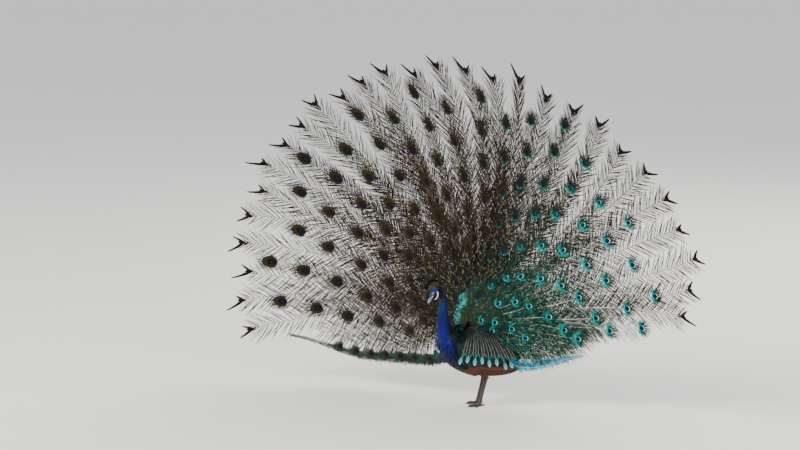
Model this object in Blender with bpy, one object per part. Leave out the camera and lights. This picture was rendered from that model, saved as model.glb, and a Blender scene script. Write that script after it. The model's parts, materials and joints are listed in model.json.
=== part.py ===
"""A peacock in full display, life size, standing on both feet.

Metres, +Z up. The raised train faces -Y and spreads along X. The bird's own left is towards +X.
Every size below is measured from a point on the floor between the feet, and the last step of
main() moves the whole bird so that the origin lies on the floor under the middle of its box.
"""

import math

import bmesh
import bpy
import numpy as np

GAP = 0.0003

# Stance: the body is turned from the way the fan faces, and the head is turned further.
BODY_TURN = math.radians(25)
HEAD_TURN = math.radians(45)
HEAD_PITCH = math.radians(-45)
HEAD_PLACE = (0.286, 0.0, 0.629)
HEAD_SCALE = 1.02

# Torso stations: distance ahead of the feet, lowest and highest point, half width.
TORSO = (
    (-0.215, 0.300, 0.350, 0.022),
    (-0.180, 0.232, 0.386, 0.055),
    (-0.120, 0.186, 0.410, 0.084),
    (-0.050, 0.160, 0.420, 0.098),
    (0.030, 0.160, 0.420, 0.103),
    (0.110, 0.185, 0.418, 0.097),
    (0.180, 0.227, 0.426, 0.081),
    (0.228, 0.274, 0.428, 0.058),
    (0.252, 0.326, 0.408, 0.030),
)
TORSO_FRONT = 0.259
TORSO_REAR = -0.228

# Neck stations: height, distance ahead of the feet, half length and half width.
NECK = (
    (0.330, 0.172, 0.060, 0.054),
    (0.370, 0.200, 0.057, 0.054),
    (0.405, 0.214, 0.051, 0.048),
    (0.450, 0.226, 0.040, 0.038),
    (0.500, 0.232, 0.0315, 0.031),
    (0.550, 0.233, 0.0260, 0.026),
    (0.585, 0.232, 0.0236, 0.0225),
    (0.618, 0.240, 0.0220, 0.0205),
    (0.638, 0.248, 0.0180, 0.0165),
)
NECK_CUT = (0.205, 0.402)
NECK_CUT_TILT = math.radians(38)

# Head stations in its own frame: ahead of its centre, lowest and highest point, half width.
HEAD = (
    (-0.0360, -0.0080, 0.0065, 0.0060),
    (-0.0310, -0.0165, 0.0150, 0.0120),
    (-0.0200, -0.0250, 0.0220, 0.0164),
    (-0.0060, -0.0300, 0.0248, 0.0184),
    (0.0070, -0.0305, 0.0232, 0.0178),
    (0.0180, -0.0270, 0.0180, 0.0148),
    (0.0270, -0.0215, 0.0116, 0.0110),
    (0.0340, -0.0140, 0.0064, 0.0080),
)
HEAD_FRONT = (0.0345, 0.0, -0.0036)
HEAD_REAR = (-0.0375, 0.0, -0.001)
BILL_BASE = 0.0300
BILL_REACH = 0.0315
MOUTH_HIGH = -0.0043
MOUTH_SLOPE = math.radians(10)
EYE_RADIUS = 0.0054
EYE_PLACE = (0.0085, 0.0136, 0.0040)

# Crest: stalks from the crown, in a fan that lies in the head's own middle plane.
CREST_COUNT = 15
CREST_LENGTH = 0.056
CREST_SPREAD = (math.radians(-58), math.radians(32))
CREST_ROOT = (-0.016, 0.0, 0.0165)

# Train: all its feathers spring from one root and lie on a bowl that leans forward.
FAN_ROOT = (0.056, 0.0, 0.460)
FAN_LEAN = math.radians(10.7)
FAN_BACK = -0.405
FAN_CUP = 0.295
FAN_REACH_TOP = 1.393
FAN_REACH_SIDE = 1.473
FAN_GRID = 0.50
FAN_ROOT_RADIUS = 0.045
VANE = 0.0007
LEVEL_FRONT = 0.012
LEVEL_STEP = 0.0034
PAD_WIDE = 0.107
PAD_SHIFT = 0.22
PAD_HIGH = 0.135
PAD_FRONT = 0.042
PAD_BACK = -0.048
SEAMS = (math.radians(-36), math.radians(29))
SEAM_CLEAR = math.radians(4)
FAN_EDGE = math.radians(104)
FAR_EDGE = math.radians(107)
NEAR_TOP = 1.13
NEAR_TOP_FROM = math.radians(45)
LOW_DROP = 0.22
LOW_DROP_TURNS = (math.radians(66), math.radians(88))
EYE_FIRST = 0.385
EYE_ROW_STEP = 0.195
EYE_STAGGER = 0.0975
EYE_INSET = 0.11
NEAR_DRIFT = 0.02
NEAR_COLUMNS = (-0.2, 6.4, 0.296)
NEAR_LAST = 88.0
NEAR_SPLAY = (0.9535, 0.911, 0.35)
FAR_DRIFT = 0.04
FAR_COLUMNS = (4.0, 7.2, 0.9)
FAR_SPLAY = (0.95, 0.55, 0.45)
EYE_ROWS = 6
EYE_COLUMNS = range(-9, 11)
FISHTAILS = 28
FLANK_PLUMES = 9
FLANK_BOW = 0.022
FLANK_START = (0.070, 0.052, 0.442)
FLANK_BEND_HIGH = 0.405
FLANK_OUT = 0.133
FISHTAIL_SPREAD = (math.radians(-97), math.radians(85))

# Legs: each foot's place, the hock above it, and the toes.
FOOT_SIDE = 0.040
FOOT_STEP = 0.021
HOCK = (-0.040, 0.150)
WING_QUILLS = 9
QUILL_STARTS = ((0.110, 0.094, 0.206), (0.060, 0.094, 0.236))
QUILL_BENDS = ((-0.050, 0.106, 0.168), (-0.070, 0.106, 0.202))
QUILL_ENDS = ((-0.215, 0.088, 0.186), (-0.235, 0.088, 0.208))
TAIL_QUILLS = 16
TOES = ((0.0, 0.074), (34.0, 0.058), (-34.0, 0.058), (176.0, 0.032))
TOE_RADIUS = 0.0066

HEADING = np.array([-math.sin(BODY_TURN), -math.cos(BODY_TURN), 0.0])
LEFT = np.array([math.cos(BODY_TURN), -math.sin(BODY_TURN), 0.0])
UP = np.array([0.0, 0.0, 1.0])


def body(ahead, left, high):
    """World place of a point given along the body, to its left and above the floor."""
    return ahead * HEADING + left * LEFT + high * UP


def slopes(keys, values):
    """Slopes of a smooth curve through the keys that never overshoots them."""
    step = np.diff(keys)
    rise = np.diff(values) / step
    inner = np.where(rise[1:] * rise[:-1] > 0, 2 * rise[1:] * rise[:-1] / (rise[1:] + rise[:-1] + 1e-12), 0)
    return np.concatenate([[rise[0]], inner, [rise[-1]]])


def smooth(keys, values, at):
    """Values of that curve at the given places."""
    keys, values = np.asarray(keys, float), np.asarray(values, float)
    slope = slopes(keys, values)
    index = np.clip(np.searchsorted(keys, at) - 1, 0, len(keys) - 2)
    step = keys[index + 1] - keys[index]
    x = (at - keys[index]) / step
    return (
        values[index] * (1 + 2 * x) * (1 - x) ** 2
        + slope[index] * step * x * (1 - x) ** 2
        + values[index + 1] * x * x * (3 - 2 * x)
        + slope[index + 1] * step * x * x * (x - 1)
    )


def new_object(name, points, faces):
    """A mesh object with its faces pointing out."""
    mesh = bpy.data.meshes.new(name)
    mesh.from_pydata([tuple(p) for p in points], [], [tuple(int(i) for i in f) for f in faces])
    work = bmesh.new()
    work.from_mesh(mesh)
    bmesh.ops.recalc_face_normals(work, faces=work.faces)
    bmesh.ops.triangulate(work, faces=work.faces)
    work.to_mesh(mesh)
    work.free()
    made = bpy.data.objects.new(name, mesh)
    bpy.context.scene.collection.objects.link(made)
    return made


def loft(name, rings, start, end):
    """A closed skin over equal rings of points, drawn to a point at each end."""
    count = len(rings[0])
    points = [start] + [p for ring in rings for p in ring] + [end]
    faces = []
    for k in range(count):
        n = (k + 1) % count
        faces.append((0, 1 + n, 1 + k))
        for row in range(len(rings) - 1):
            a = 1 + row * count
            b = a + count
            faces.append((a + k, a + n, b + n, b + k))
        last = 1 + (len(rings) - 1) * count
        faces.append((last + k, last + n, len(points) - 1))
    return new_object(name, points, faces)


def ring(middle, out_a, out_b, count, power=2.0):
    """Points round an oval whose half axes are the two vectors."""
    turn = np.arange(count) * 2 * math.pi / count
    c, s = np.cos(turn), np.sin(turn)
    c = np.sign(c) * np.abs(c) ** (2 / power)
    s = np.sign(s) * np.abs(s) ** (2 / power)
    return [np.asarray(middle) + x * out_a + y * out_b for x, y in zip(c, s)]


def plate(name, points, normals, faces, thick):
    """A thin closed plate about the given middle faces, split alike on both sides."""
    points, normals = np.asarray(points, float), np.asarray(normals, float)
    count = len(points)
    ends = {}
    for face in faces:
        for a, b in zip(face, face[1:] + face[:1]):
            ends[(a, b)] = True
    rim = [(a, b) for a, b in ends if (b, a) not in ends]
    skin = [tuple(f) for f in faces] + [tuple(i + count for i in reversed(f)) for f in faces]
    for a, b in rim:
        skin.append((b, a, a + count))
        skin.append((b, a + count, b + count))
    both = np.concatenate([points + normals * thick / 2, points - normals * thick / 2])
    return new_object(name, both, skin)


def strip_faces(stations, pointed=True):
    """Triangles of a strip with two points at each station, and one at a pointed end."""
    faces = []
    for k in range(stations - 1):
        a = 2 * k
        if pointed and k == stations - 2:
            faces.append((a, a + 1, a + 2))
        else:
            faces.append((a, a + 1, a + 2))
            faces.append((a + 1, a + 3, a + 2))
    return faces


def vane(name, path, widths, across, thick):
    """A tapered feather vane along a path, ending in a point."""
    path, across = np.asarray(path, float), np.asarray(across, float)
    run = np.gradient(path, axis=0)
    normal = np.cross(run, across)
    normal /= np.linalg.norm(normal, axis=1)[:, None]
    points, normals = [], []
    for k in range(len(path) - 1):
        points += [path[k] - across[k] * widths[k], path[k] + across[k] * widths[k]]
        normals += [normal[k], normal[k]]
    points.append(path[-1])
    normals.append(normal[-1])
    return plate(name, points, normals, strip_faces(len(path)), thick)


def apply_boolean(made, others, operation, solver="EXACT"):
    """Cuts or joins with a group of helper objects, applies it and removes the helpers."""
    group = bpy.data.collections.new("helpers")
    bpy.context.scene.collection.children.link(group)
    for other in others:
        bpy.context.scene.collection.objects.unlink(other)
        group.objects.link(other)
    step = made.modifiers.new("join", "BOOLEAN")
    step.operation = operation
    step.solver = solver
    step.operand_type = "COLLECTION"
    step.collection = group
    graph = bpy.context.evaluated_depsgraph_get()
    result = bpy.data.meshes.new_from_object(made.evaluated_get(graph))
    made.modifiers.clear()
    made.data = result
    for other in others:
        bpy.data.objects.remove(other)
    bpy.data.collections.remove(group)
    keep_largest(made)


def keep_largest(made):
    """Keeps only the largest closed surface of a mesh."""
    work = bmesh.new()
    work.from_mesh(made.data)
    bmesh.ops.remove_doubles(work, verts=work.verts, dist=1e-6)
    bmesh.ops.triangulate(work, faces=work.faces)
    groups, seen = [], set()
    for first in work.verts:
        if first in seen:
            continue
        group, front = [], [first]
        seen.add(first)
        while front:
            point = front.pop()
            group.append(point)
            for edge in point.link_edges:
                far = edge.other_vert(point)
                if far not in seen:
                    seen.add(far)
                    front.append(far)
        groups.append(group)
    groups.sort(key=len, reverse=True)
    bmesh.ops.delete(work, geom=[p for group in groups[1:] for p in group], context="VERTS")
    work.to_mesh(made.data)
    work.free()


def finish_with(made, colour, roughness, metallic=0.0):
    """Gives a node its own material."""
    material = bpy.data.materials.new(made.name)
    material.use_nodes = True
    shader = material.node_tree.nodes["Principled BSDF"]
    shader.inputs["Base Color"].default_value = (*colour, 1.0)
    shader.inputs["Roughness"].default_value = roughness
    shader.inputs["Metallic"].default_value = metallic
    made.data.materials.clear()
    made.data.materials.append(material)
    made.data.shade_smooth()
    made.data.set_sharp_from_angle(angle=math.radians(40))


def torso_mesh(name, grow=0.0, rings=15, sides=20):
    """The torso as one smooth egg, or the same form grown a little for cutting."""
    keys = [row[0] for row in TORSO]
    middles = []
    for ahead in np.linspace(keys[0], keys[-1], rings):
        low = smooth(keys, [row[1] for row in TORSO], ahead)
        high = smooth(keys, [row[2] for row in TORSO], ahead)
        wide = smooth(keys, [row[3] for row in TORSO], ahead)
        half = (high - low) / 2 + grow
        middles.append(ring(body(ahead, 0, (low + high) / 2), LEFT * (wide + grow), UP * half, sides, 2.15))
    start = body(TORSO_REAR - grow, 0, 0.325)
    end = body(TORSO_FRONT + grow, 0, 0.368)
    return loft(name, middles, start, end)


def neck_mesh(name, grow=0.0, rings=12, sides=16):
    """The neck as a tapering column that starts inside the breast."""
    keys = [row[0] for row in NECK]
    middles = []
    for high in np.linspace(keys[0], keys[-1], rings):
        ahead = smooth(keys, [row[1] for row in NECK], high)
        long = smooth(keys, [row[2] for row in NECK], high) + grow
        wide = smooth(keys, [row[3] for row in NECK], high) + grow
        tilt = math.radians(14) * min(1.0, max(0.0, (0.45 - high) / 0.12))
        forward = HEADING * math.cos(tilt) + UP * math.sin(tilt)
        middles.append(ring(body(ahead, 0, high), LEFT * wide, forward * long, sides))
    start = body(NECK[0][1], 0, NECK[0][0] - 0.02)
    end = body(NECK[-1][1], 0, NECK[-1][0] + 0.008)
    return loft(name, middles, start, end)


def slab(name, middle, normal, thick, size=1.0, side=0):
    """A flat cutter: a thin slab at a plane, or all that lies on one side of it."""
    normal = np.asarray(normal, float) / np.linalg.norm(normal)
    guess = UP if abs(normal[2]) < 0.9 else HEADING
    a = np.cross(normal, guess)
    a /= np.linalg.norm(a)
    b = np.cross(normal, a)
    low, high = (-thick / 2, thick / 2) if side == 0 else sorted((-side * thick / 2, side * size))
    points = [
        np.asarray(middle) + a * x + b * y + normal * z
        for z in (low, high)
        for x, y in ((-size, -size), (size, -size), (size, size), (-size, size))
    ]
    faces = [(3, 2, 1, 0), (4, 5, 6, 7)] + [(k, (k + 1) % 4, 4 + (k + 1) % 4, 4 + k) for k in range(4)]
    return new_object(name, points, faces)


def neck_plane():
    """The plane where the neck meets the torso: its middle and its normal, up along the neck."""
    normal = UP * math.cos(NECK_CUT_TILT) + HEADING * math.sin(NECK_CUT_TILT)
    return body(NECK_CUT[0], 0, NECK_CUT[1]), normal


def head_axes():
    """Forward, left and up of the head."""
    flat = np.array([-math.sin(HEAD_TURN), -math.cos(HEAD_TURN), 0.0])
    side = np.array([math.cos(HEAD_TURN), -math.sin(HEAD_TURN), 0.0])
    forward = flat * math.cos(HEAD_PITCH) + UP * math.sin(HEAD_PITCH)
    return forward, side, np.cross(forward, side)


def in_head(ahead, left, high):
    """World place of a point of the head's own frame."""
    forward, side, top = head_axes()
    return body(*HEAD_PLACE) + HEAD_SCALE * (ahead * forward + left * side + high * top)


def head_ring(ahead, left, low, high, wide, sides, power=2.0):
    """A ring across the head's own forward axis."""
    _, side, top = head_axes()
    half = HEAD_SCALE * (high - low) / 2
    return ring(in_head(ahead, left, (low + high) / 2), side * wide * HEAD_SCALE, top * half, sides, power)


def ball(name, middle, radius, rings=8, sides=14, axis=None):
    """A sphere, or an egg if radius has three values along the head's axes."""
    forward, side, top = head_axes() if axis is None else axis
    r = np.broadcast_to(radius, 3)
    rows = []
    for k in range(1, rings):
        turn = math.pi * k / rings
        at = np.asarray(middle) - forward * r[0] * math.cos(turn)
        rows.append(ring(at, side * r[1] * math.sin(turn), top * r[2] * math.sin(turn), sides))
    return loft(name, rows, np.asarray(middle) - forward * r[0], np.asarray(middle) + forward * r[0])


def head_form(name, grow=0.0, rings=12, sides=16):
    """The skull with its feathers as one smooth egg, or grown a little for cutting."""
    keys = [row[0] for row in HEAD]
    rows = []
    for ahead in np.linspace(keys[0], keys[-1], rings):
        low = smooth(keys, [row[1] for row in HEAD], ahead) - grow
        high = smooth(keys, [row[2] for row in HEAD], ahead) + grow
        wide = smooth(keys, [row[3] for row in HEAD], ahead) + grow
        rows.append(head_ring(ahead, 0, low, high, wide, sides))
    out = np.array([grow, 0.0, 0.0])
    return loft(name, rows, in_head(*(HEAD_REAR - out)), in_head(*(HEAD_FRONT + out)))


def make_head():
    """Skull with sockets, lids, ear hollows and the corner of the mouth."""
    skull = head_form("head")
    forward, side, _ = head_axes()
    lids, holes = [], []
    for hand in (1, -1):
        eye = in_head(EYE_PLACE[0], hand * EYE_PLACE[1], EYE_PLACE[2])
        size = HEAD_SCALE * EYE_RADIUS
        lids.append(ball("lid", eye + side * hand * 0.0003, (size * 1.22, size * 1.0, size * 1.16), 7, 10))
        holes.append(ball("socket", eye, size + GAP, 8, 12))
        holes.append(ball("lid_slit", eye + side * hand * size, (size * 0.86, size * 0.75, size * 0.74), 5, 10))
        holes.append(ball("ear", in_head(-0.016, hand * 0.0178, -0.004), (0.0035, 0.0022, 0.0045), 4, 8))
        holes.append(ball("gape", in_head(0.0265, hand * 0.0118, -0.0046), (0.0075, 0.0016, 0.0007), 4, 6))
    apply_boolean(skull, lids, "UNION")
    holes.append(slab("bill_face", in_head(BILL_BASE, 0, 0), forward, GAP, 0.2, 1))
    holes.append(neck_mesh("neck_cutter", GAP))
    apply_boolean(skull, holes, "DIFFERENCE")
    finish_with(skull, (0.02, 0.06, 0.33), 0.4)


def bill_form(name):
    """The whole bill: high at its base, with the upper line curving down to a hooked tip."""
    rows = []
    for x in np.linspace(0, 0.97, 9):
        high = 0.0058 - 0.0155 * x**2.1
        low = -0.0126 - 0.0012 * x**3
        wide = 0.0078 * (1 - x) ** 0.55 + 0.0006
        rows.append(head_ring(BILL_BASE + GAP + x * BILL_REACH, 0, low, max(high, low + 0.0012), wide, 14, 2.3))
    tip = np.mean(rows[-1], axis=0) + head_axes()[0] * 0.0012
    return loft(name, rows, np.mean(rows[0], axis=0), tip)


def make_bill():
    """Upper and lower bill, parted by the line of the mouth, with nostrils in the upper."""
    forward, side, top = head_axes()
    mouth = in_head(BILL_BASE, 0, MOUTH_HIGH)
    normal = top * math.cos(MOUTH_SLOPE) + forward * math.sin(MOUTH_SLOPE)
    nostrils = [
        ball("nostril", in_head(BILL_BASE + 0.0095, hand * 0.0068, 0.0006), (0.0028, 0.0016, 0.0009), 6, 8)
        for hand in (1, -1)
    ]
    upper = bill_form("bill_upper")
    apply_boolean(upper, [*nostrils, slab("mouth", mouth, normal, GAP, 0.1, -1)], "DIFFERENCE")
    lower = bill_form("bill_lower")
    hook = in_head(BILL_BASE + BILL_REACH * 0.86, 0, 0)
    cuts = [slab("mouth", mouth, normal, GAP, 0.1, 1), slab("hook", hook, forward, GAP, 0.1, 1)]
    apply_boolean(lower, cuts, "DIFFERENCE")
    for made in (upper, lower):
        finish_with(made, (0.42, 0.36, 0.35), 0.45)


def make_eyes():
    """The two eyeballs."""
    for name, hand in (("eye_left", 1), ("eye_right", -1)):
        middle = in_head(EYE_PLACE[0], hand * EYE_PLACE[1], EYE_PLACE[2])
        finish_with(ball(name, middle, HEAD_SCALE * EYE_RADIUS, 8, 14), (0.03, 0.015, 0.01), 0.1)


def make_crest():
    """A fan of bare stalks with broad tips, rooted in one small pad on the crown."""
    forward, side, top = head_axes()
    root = in_head(*CREST_ROOT)
    pad = ball("crest", in_head(-0.017, 0, 0.0215), (0.0105, 0.0042, 0.0042), 8, 12)
    stalks = []
    for k in range(CREST_COUNT):
        part = k / (CREST_COUNT - 1)
        turn = CREST_SPREAD[0] + (CREST_SPREAD[1] - CREST_SPREAD[0]) * part
        lie = 0.16 * math.sin(k * 2.4)
        out = top * math.cos(turn) + forward * math.sin(turn) + side * lie
        out /= np.linalg.norm(out)
        across = np.cross(out, side)
        across /= np.linalg.norm(across)
        length = CREST_LENGTH * (1 - 0.10 * (2 * part - 1) ** 2 + 0.04 * math.sin(k * 4.1))
        foot = root + forward * (part - 0.45) * 0.013
        along = np.array([0.0, 0.72, 0.86, 1.0]) * length
        bend = np.array([0.0, 0.03, 0.04, 0.06]) * length * (0.4 - part)
        path = [foot + out * a - forward * b for a, b in zip(along, bend)]
        widths = [0.0005, 0.0008, 0.0034, 0.0]
        stalks.append(vane("stalk", path, widths, [across] * 4, 0.0009 + 0.0001 * (k % 2)))
    apply_boolean(pad, stalks, "UNION")
    apply_boolean(pad, [head_form("head_cutter", GAP)], "DIFFERENCE")
    finish_with(pad, (0.01, 0.09, 0.20), 0.4)


def make_torso_and_neck():
    """The egg of the body and the column of the neck, fused and then parted by a thin cut."""
    middle, normal = neck_plane()
    for name, side, colour in (("torso", 1, (0.01, 0.03, 0.14)), ("neck", -1, (0.0, 0.05, 0.42))):
        whole = torso_mesh(name)
        apply_boolean(whole, [neck_mesh("column")], "UNION")
        apply_boolean(whole, [slab("cut", middle, normal, GAP, 1.0, side)], "DIFFERENCE")
        finish_with(whole, colour, 0.45)


def fan_depth(radius):
    """How far the bowl stands before its root at a radius, straight between stations."""
    grid = np.arange(0, 1.81, FAN_GRID)
    return np.interp(radius, grid, FAN_BACK * grid + FAN_CUP * grid**2)


def fan_axes():
    """Side, up and forward of the raised train."""
    up = np.array([0.0, -math.sin(FAN_LEAN), math.cos(FAN_LEAN)])
    forward = np.array([0.0, -math.cos(FAN_LEAN), -math.sin(FAN_LEAN)])
    return np.array([1.0, 0.0, 0.0]), up, forward


def fan_point(radius, turn, level=0.0, across=0.0):
    """A point of the bowl: its radius, its turn from upright, its depth and its place across."""
    side, up, forward = fan_axes()
    out = math.sin(turn) * side + math.cos(turn) * up
    over = math.cos(turn) * side - math.sin(turn) * up
    return body(*FAN_ROOT) + radius * out + across * over + (fan_depth(radius) + level) * forward


def fan_plate(name, turn, level, outline, faces):
    """A thin plate on the bowl, its outline given as places across and along."""
    forward = fan_axes()[2]
    points = [fan_point(r, turn, level, x) for x, r in outline]
    return plate(name, points, [forward] * len(points), faces, VANE)


def stations_to(last):
    """The root's radius and the bowl's own stations up to a radius."""
    grid = np.arange(FAN_GRID, last - 0.02, FAN_GRID)
    return [FAN_ROOT_RADIUS, *grid]


def shaft_width(radius, eye):
    """Half width of the loose web beside the quill."""
    return 0.0018 + 0.0075 * min(1.0, max(0.0, (radius - 0.10) / 0.45)) * min(1.0, eye / 0.5)


def eyed_feather(turn, eye, level):
    """One train feather: a narrow web, the broad eye near its end, and a point."""
    size = 0.72 + 0.28 * min(1.0, eye / 0.7)
    rows = [(r, shaft_width(r, eye)) for r in stations_to(eye - 0.042 * size)]
    rows += [(eye - 0.042 * size, 0.010 * size), (eye - 0.004, 0.027 * size), (eye + 0.030 * size, 0.018 * size)]
    outline = [(x, r) for r, w in rows for x in (-w, w)] + [(0.0, eye + 0.058 * size)]
    return fan_plate("feather", turn, level, outline, strip_faces(len(rows) + 1))


def fishtail(turn, reach, level):
    """One of the longest feathers: a bare web that ends in two curved arms."""
    rows = [(r, shaft_width(r, reach) * 0.8) for r in stations_to(reach)] + [(reach, 0.006)]
    outline = [(x, r) for r, w in rows for x in (-w, w)]
    base = len(outline) - 2
    outline += [(0.0, reach + 0.013)]
    for hand in (-1, 1):
        outline += [(hand * 0.028, reach + 0.026), (hand * 0.048, reach + 0.064)]
    n = base + 2
    faces = strip_faces(len(rows), pointed=False) + [(base, base + 1, n)]
    faces += [(base, n, n + 1), (n + 1, n, n + 2)]
    faces += [(base + 1, n + 3, n), (n + 3, n + 4, n)]
    return fan_plate("fishtail", turn, level, outline, faces)


def sword_feather(turn, reach, level):
    """A long narrow feather of the train's lower edge, broadest near its end."""
    rows = [(r, 0.002 + 0.008 * r / reach) for r in stations_to(reach * 0.86)] + [(reach * 0.86, 0.012)]
    outline = [(x, r) for r, w in rows for x in (-w, w)] + [(0.0, reach)]
    return fan_plate("sword", turn, level, outline, strip_faces(len(rows) + 1))


def eye_lattice():
    """Every eyed feather's turn, the radius of its eye and its tier, short ones in front."""
    found = []
    for column in EYE_COLUMNS:
        for row in range(-1, EYE_ROWS):
            radius, here = eye_place(column, row)
            tier = 2 * (row + 1) + column % 2
            if radius > 0.24 and radius < eye_limit(here) and -FAR_EDGE < here < FAN_EDGE:
                found.append((clear_of_seams(here), radius, tier))
    return found


def eye_place(column, row):
    """Radius and turn of one eye: the columns spread apart towards the root, most of all on the near side."""
    far = abs(column)
    radius = EYE_FIRST + EYE_STAGGER * (column % 2) + EYE_ROW_STEP * row
    if column > 0:
        radius -= NEAR_DRIFT * column
        turn = min(NEAR_LAST, sum(step * column**power for power, step in enumerate(NEAR_COLUMNS)))
        base, splay, fall = NEAR_SPLAY
    else:
        radius += FAR_DRIFT * max(0, far - 4)
        turn = -FAR_COLUMNS[0] - FAR_COLUMNS[1] * far - FAR_COLUMNS[2] * far**1.5
        base, splay, fall = FAR_SPLAY
    return radius, math.radians(turn * (base + splay * math.exp(-radius / fall)))


def eye_limit(turn):
    """Radius that the outermost eyes stay within."""
    inside = reach_at(turn) - EYE_INSET
    return min(inside, NEAR_TOP) if turn > NEAR_TOP_FROM else inside


def reach_at(turn):
    """Radius where the fishtails fork: furthest at the sides, and short again at the near lower edge."""
    first, last = LOW_DROP_TURNS
    low = min(1.0, max(0.0, (turn - first) / (last - first)))
    drop = LOW_DROP * low * low * (3 - 2 * low)
    return FAN_REACH_TOP + (FAN_REACH_SIDE - FAN_REACH_TOP) * math.sin(turn) ** 2 - drop


def clear_of_seams(turn):
    """Moves a feather a little so that it stays on its own side of each seam."""
    for seam in SEAMS:
        if abs(turn - seam) < SEAM_CLEAR:
            return seam + math.copysign(SEAM_CLEAR, turn - seam)
    return turn


def train_pad(name, first, last):
    """One sector of the cushion that carries the quills, domed in front and flat behind."""
    turns = np.linspace(first, last, max(4, int(abs(last - first) / math.radians(13)) + 1))
    radii = np.array([0.0, 0.35, 0.65, 0.88, 1.0])
    fronts, backs = [], []
    for turn in turns:
        wide = PAD_WIDE * (1 - PAD_SHIFT * math.sin(turn))
        edge = 1 / math.hypot(math.sin(turn) / wide, math.cos(turn) / PAD_HIGH)
        fronts.append([fan_point(x * edge, turn, -0.004 + (PAD_FRONT + 0.004) * (1 - x**2) ** 0.7) for x in radii[1:]])
        backs.append([fan_point(x * edge, turn, PAD_BACK) for x in radii[1:]])
    points = [fan_point(0, 0, PAD_FRONT), fan_point(0, 0, PAD_BACK)]
    points += [p for row in fronts for p in row] + [p for row in backs for p in row]
    rows, cols = len(turns), len(radii) - 1
    front = [[2 + i * cols + j for j in range(cols)] for i in range(rows)]
    back = [[2 + (rows + i) * cols + j for j in range(cols)] for i in range(rows)]
    faces = []
    for i in range(rows - 1):
        faces += [(0, front[i][0], front[i + 1][0]), (1, back[i + 1][0], back[i][0])]
        for j in range(cols - 1):
            faces.append((front[i][j], front[i][j + 1], front[i + 1][j + 1], front[i + 1][j]))
            faces.append((back[i][j], back[i + 1][j], back[i + 1][j + 1], back[i][j + 1]))
        faces.append((front[i][-1], back[i][-1], back[i + 1][-1], front[i + 1][-1]))
    for i in (0, rows - 1):
        faces.append((0, front[i][0], back[i][0], 1))
        for j in range(cols - 1):
            faces.append((front[i][j], front[i][j + 1], back[i][j + 1], back[i][j]))
    middle = (first + last) / 2
    side, up, _ = fan_axes()
    away = (math.sin(middle) * side + math.cos(middle) * up) * GAP
    return new_object(name, [p + away for p in points], faces)


def flank_feather(hand, part):
    """A short eyed feather that hangs from the pad over the flank."""
    ahead = 0.211 - 0.425 * part + FLANK_BOW * math.sin(math.pi * part)
    low = 0.279 - 0.101 * part + 0.7 * FLANK_BOW * math.sin(math.pi * part)
    out = FLANK_OUT - 0.016 * (2 * part - 1) ** 2
    start = np.array(FLANK_START) + (0.05 * (0.5 - part), 0, 0)
    bend = np.array([0.60 * ahead + 0.03, out + 0.016, FLANK_BEND_HIGH])
    end = np.array([ahead, out, low - 0.028])
    path = []
    for x in (0.0, 0.35, 0.75, 0.88, 1.0):
        place = (1 - x) ** 2 * start + 2 * x * (1 - x) * bend + x * x * end
        path.append(body(place[0], hand * place[1], place[2]))
    path = np.array(path)
    run = np.gradient(path, axis=0)
    across = np.cross(run, LEFT * hand)
    across /= np.linalg.norm(across, axis=1)[:, None]
    return vane("flank", path, [0.0015, 0.004, 0.007, 0.011, 0.0], across, VANE)


def make_train():
    """Three sectors of the fan, each with its pad, its eyed feathers and its fishtails."""
    sectors = (
        ("train_right", -math.radians(128), SEAMS[0]),
        ("train_top", SEAMS[0], SEAMS[1]),
        ("train_left", SEAMS[1], math.radians(128)),
    )
    eyed = eye_lattice()
    for name, first, last in sectors:
        pad = train_pad(name, first, last)
        feathers = [
            eyed_feather(turn, eye, LEVEL_FRONT - LEVEL_STEP * tier) for turn, eye, tier in eyed if first < turn < last
        ]
        for k in range(FISHTAILS):
            part = k / (FISHTAILS - 1)
            turn = FISHTAIL_SPREAD[0] + (FISHTAIL_SPREAD[1] - FISHTAIL_SPREAD[0]) * part
            turn = clear_of_seams(turn)
            if first < turn < last:
                reach = reach_at(turn) + 0.028 * math.sin(k * 2.3)
                feathers.append(fishtail(turn, reach, LEVEL_FRONT - LEVEL_STEP * (14 + k % 2)))
        if name != "train_top":
            hand = 1 if name == "train_left" else -1
            for k in range(3):
                turn = hand * (FAN_EDGE + math.radians(1.3 * k))
                feathers.append(sword_feather(turn, 0.98 - 0.17 * k, LEVEL_FRONT - LEVEL_STEP * (3 + k)))
            feathers += [flank_feather(hand, k / (FLANK_PLUMES - 1)) for k in range(FLANK_PLUMES)]
        apply_boolean(pad, feathers, "UNION")
        apply_boolean(pad, [torso_mesh("torso_cutter", GAP)], "DIFFERENCE")
        finish_with(pad, (0.05, 0.16, 0.07), 0.45)


def wing_form(name, hand, grow=0.0):
    """The egg of one folded wing's coverts, or the same grown a little for cutting."""
    axes = (HEADING, LEFT, UP)
    size = (0.185 + grow, 0.036 + grow, 0.088 + grow)
    return ball(name, body(-0.010, hand * 0.080, 0.285), size, 10, 12, axes)


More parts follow.
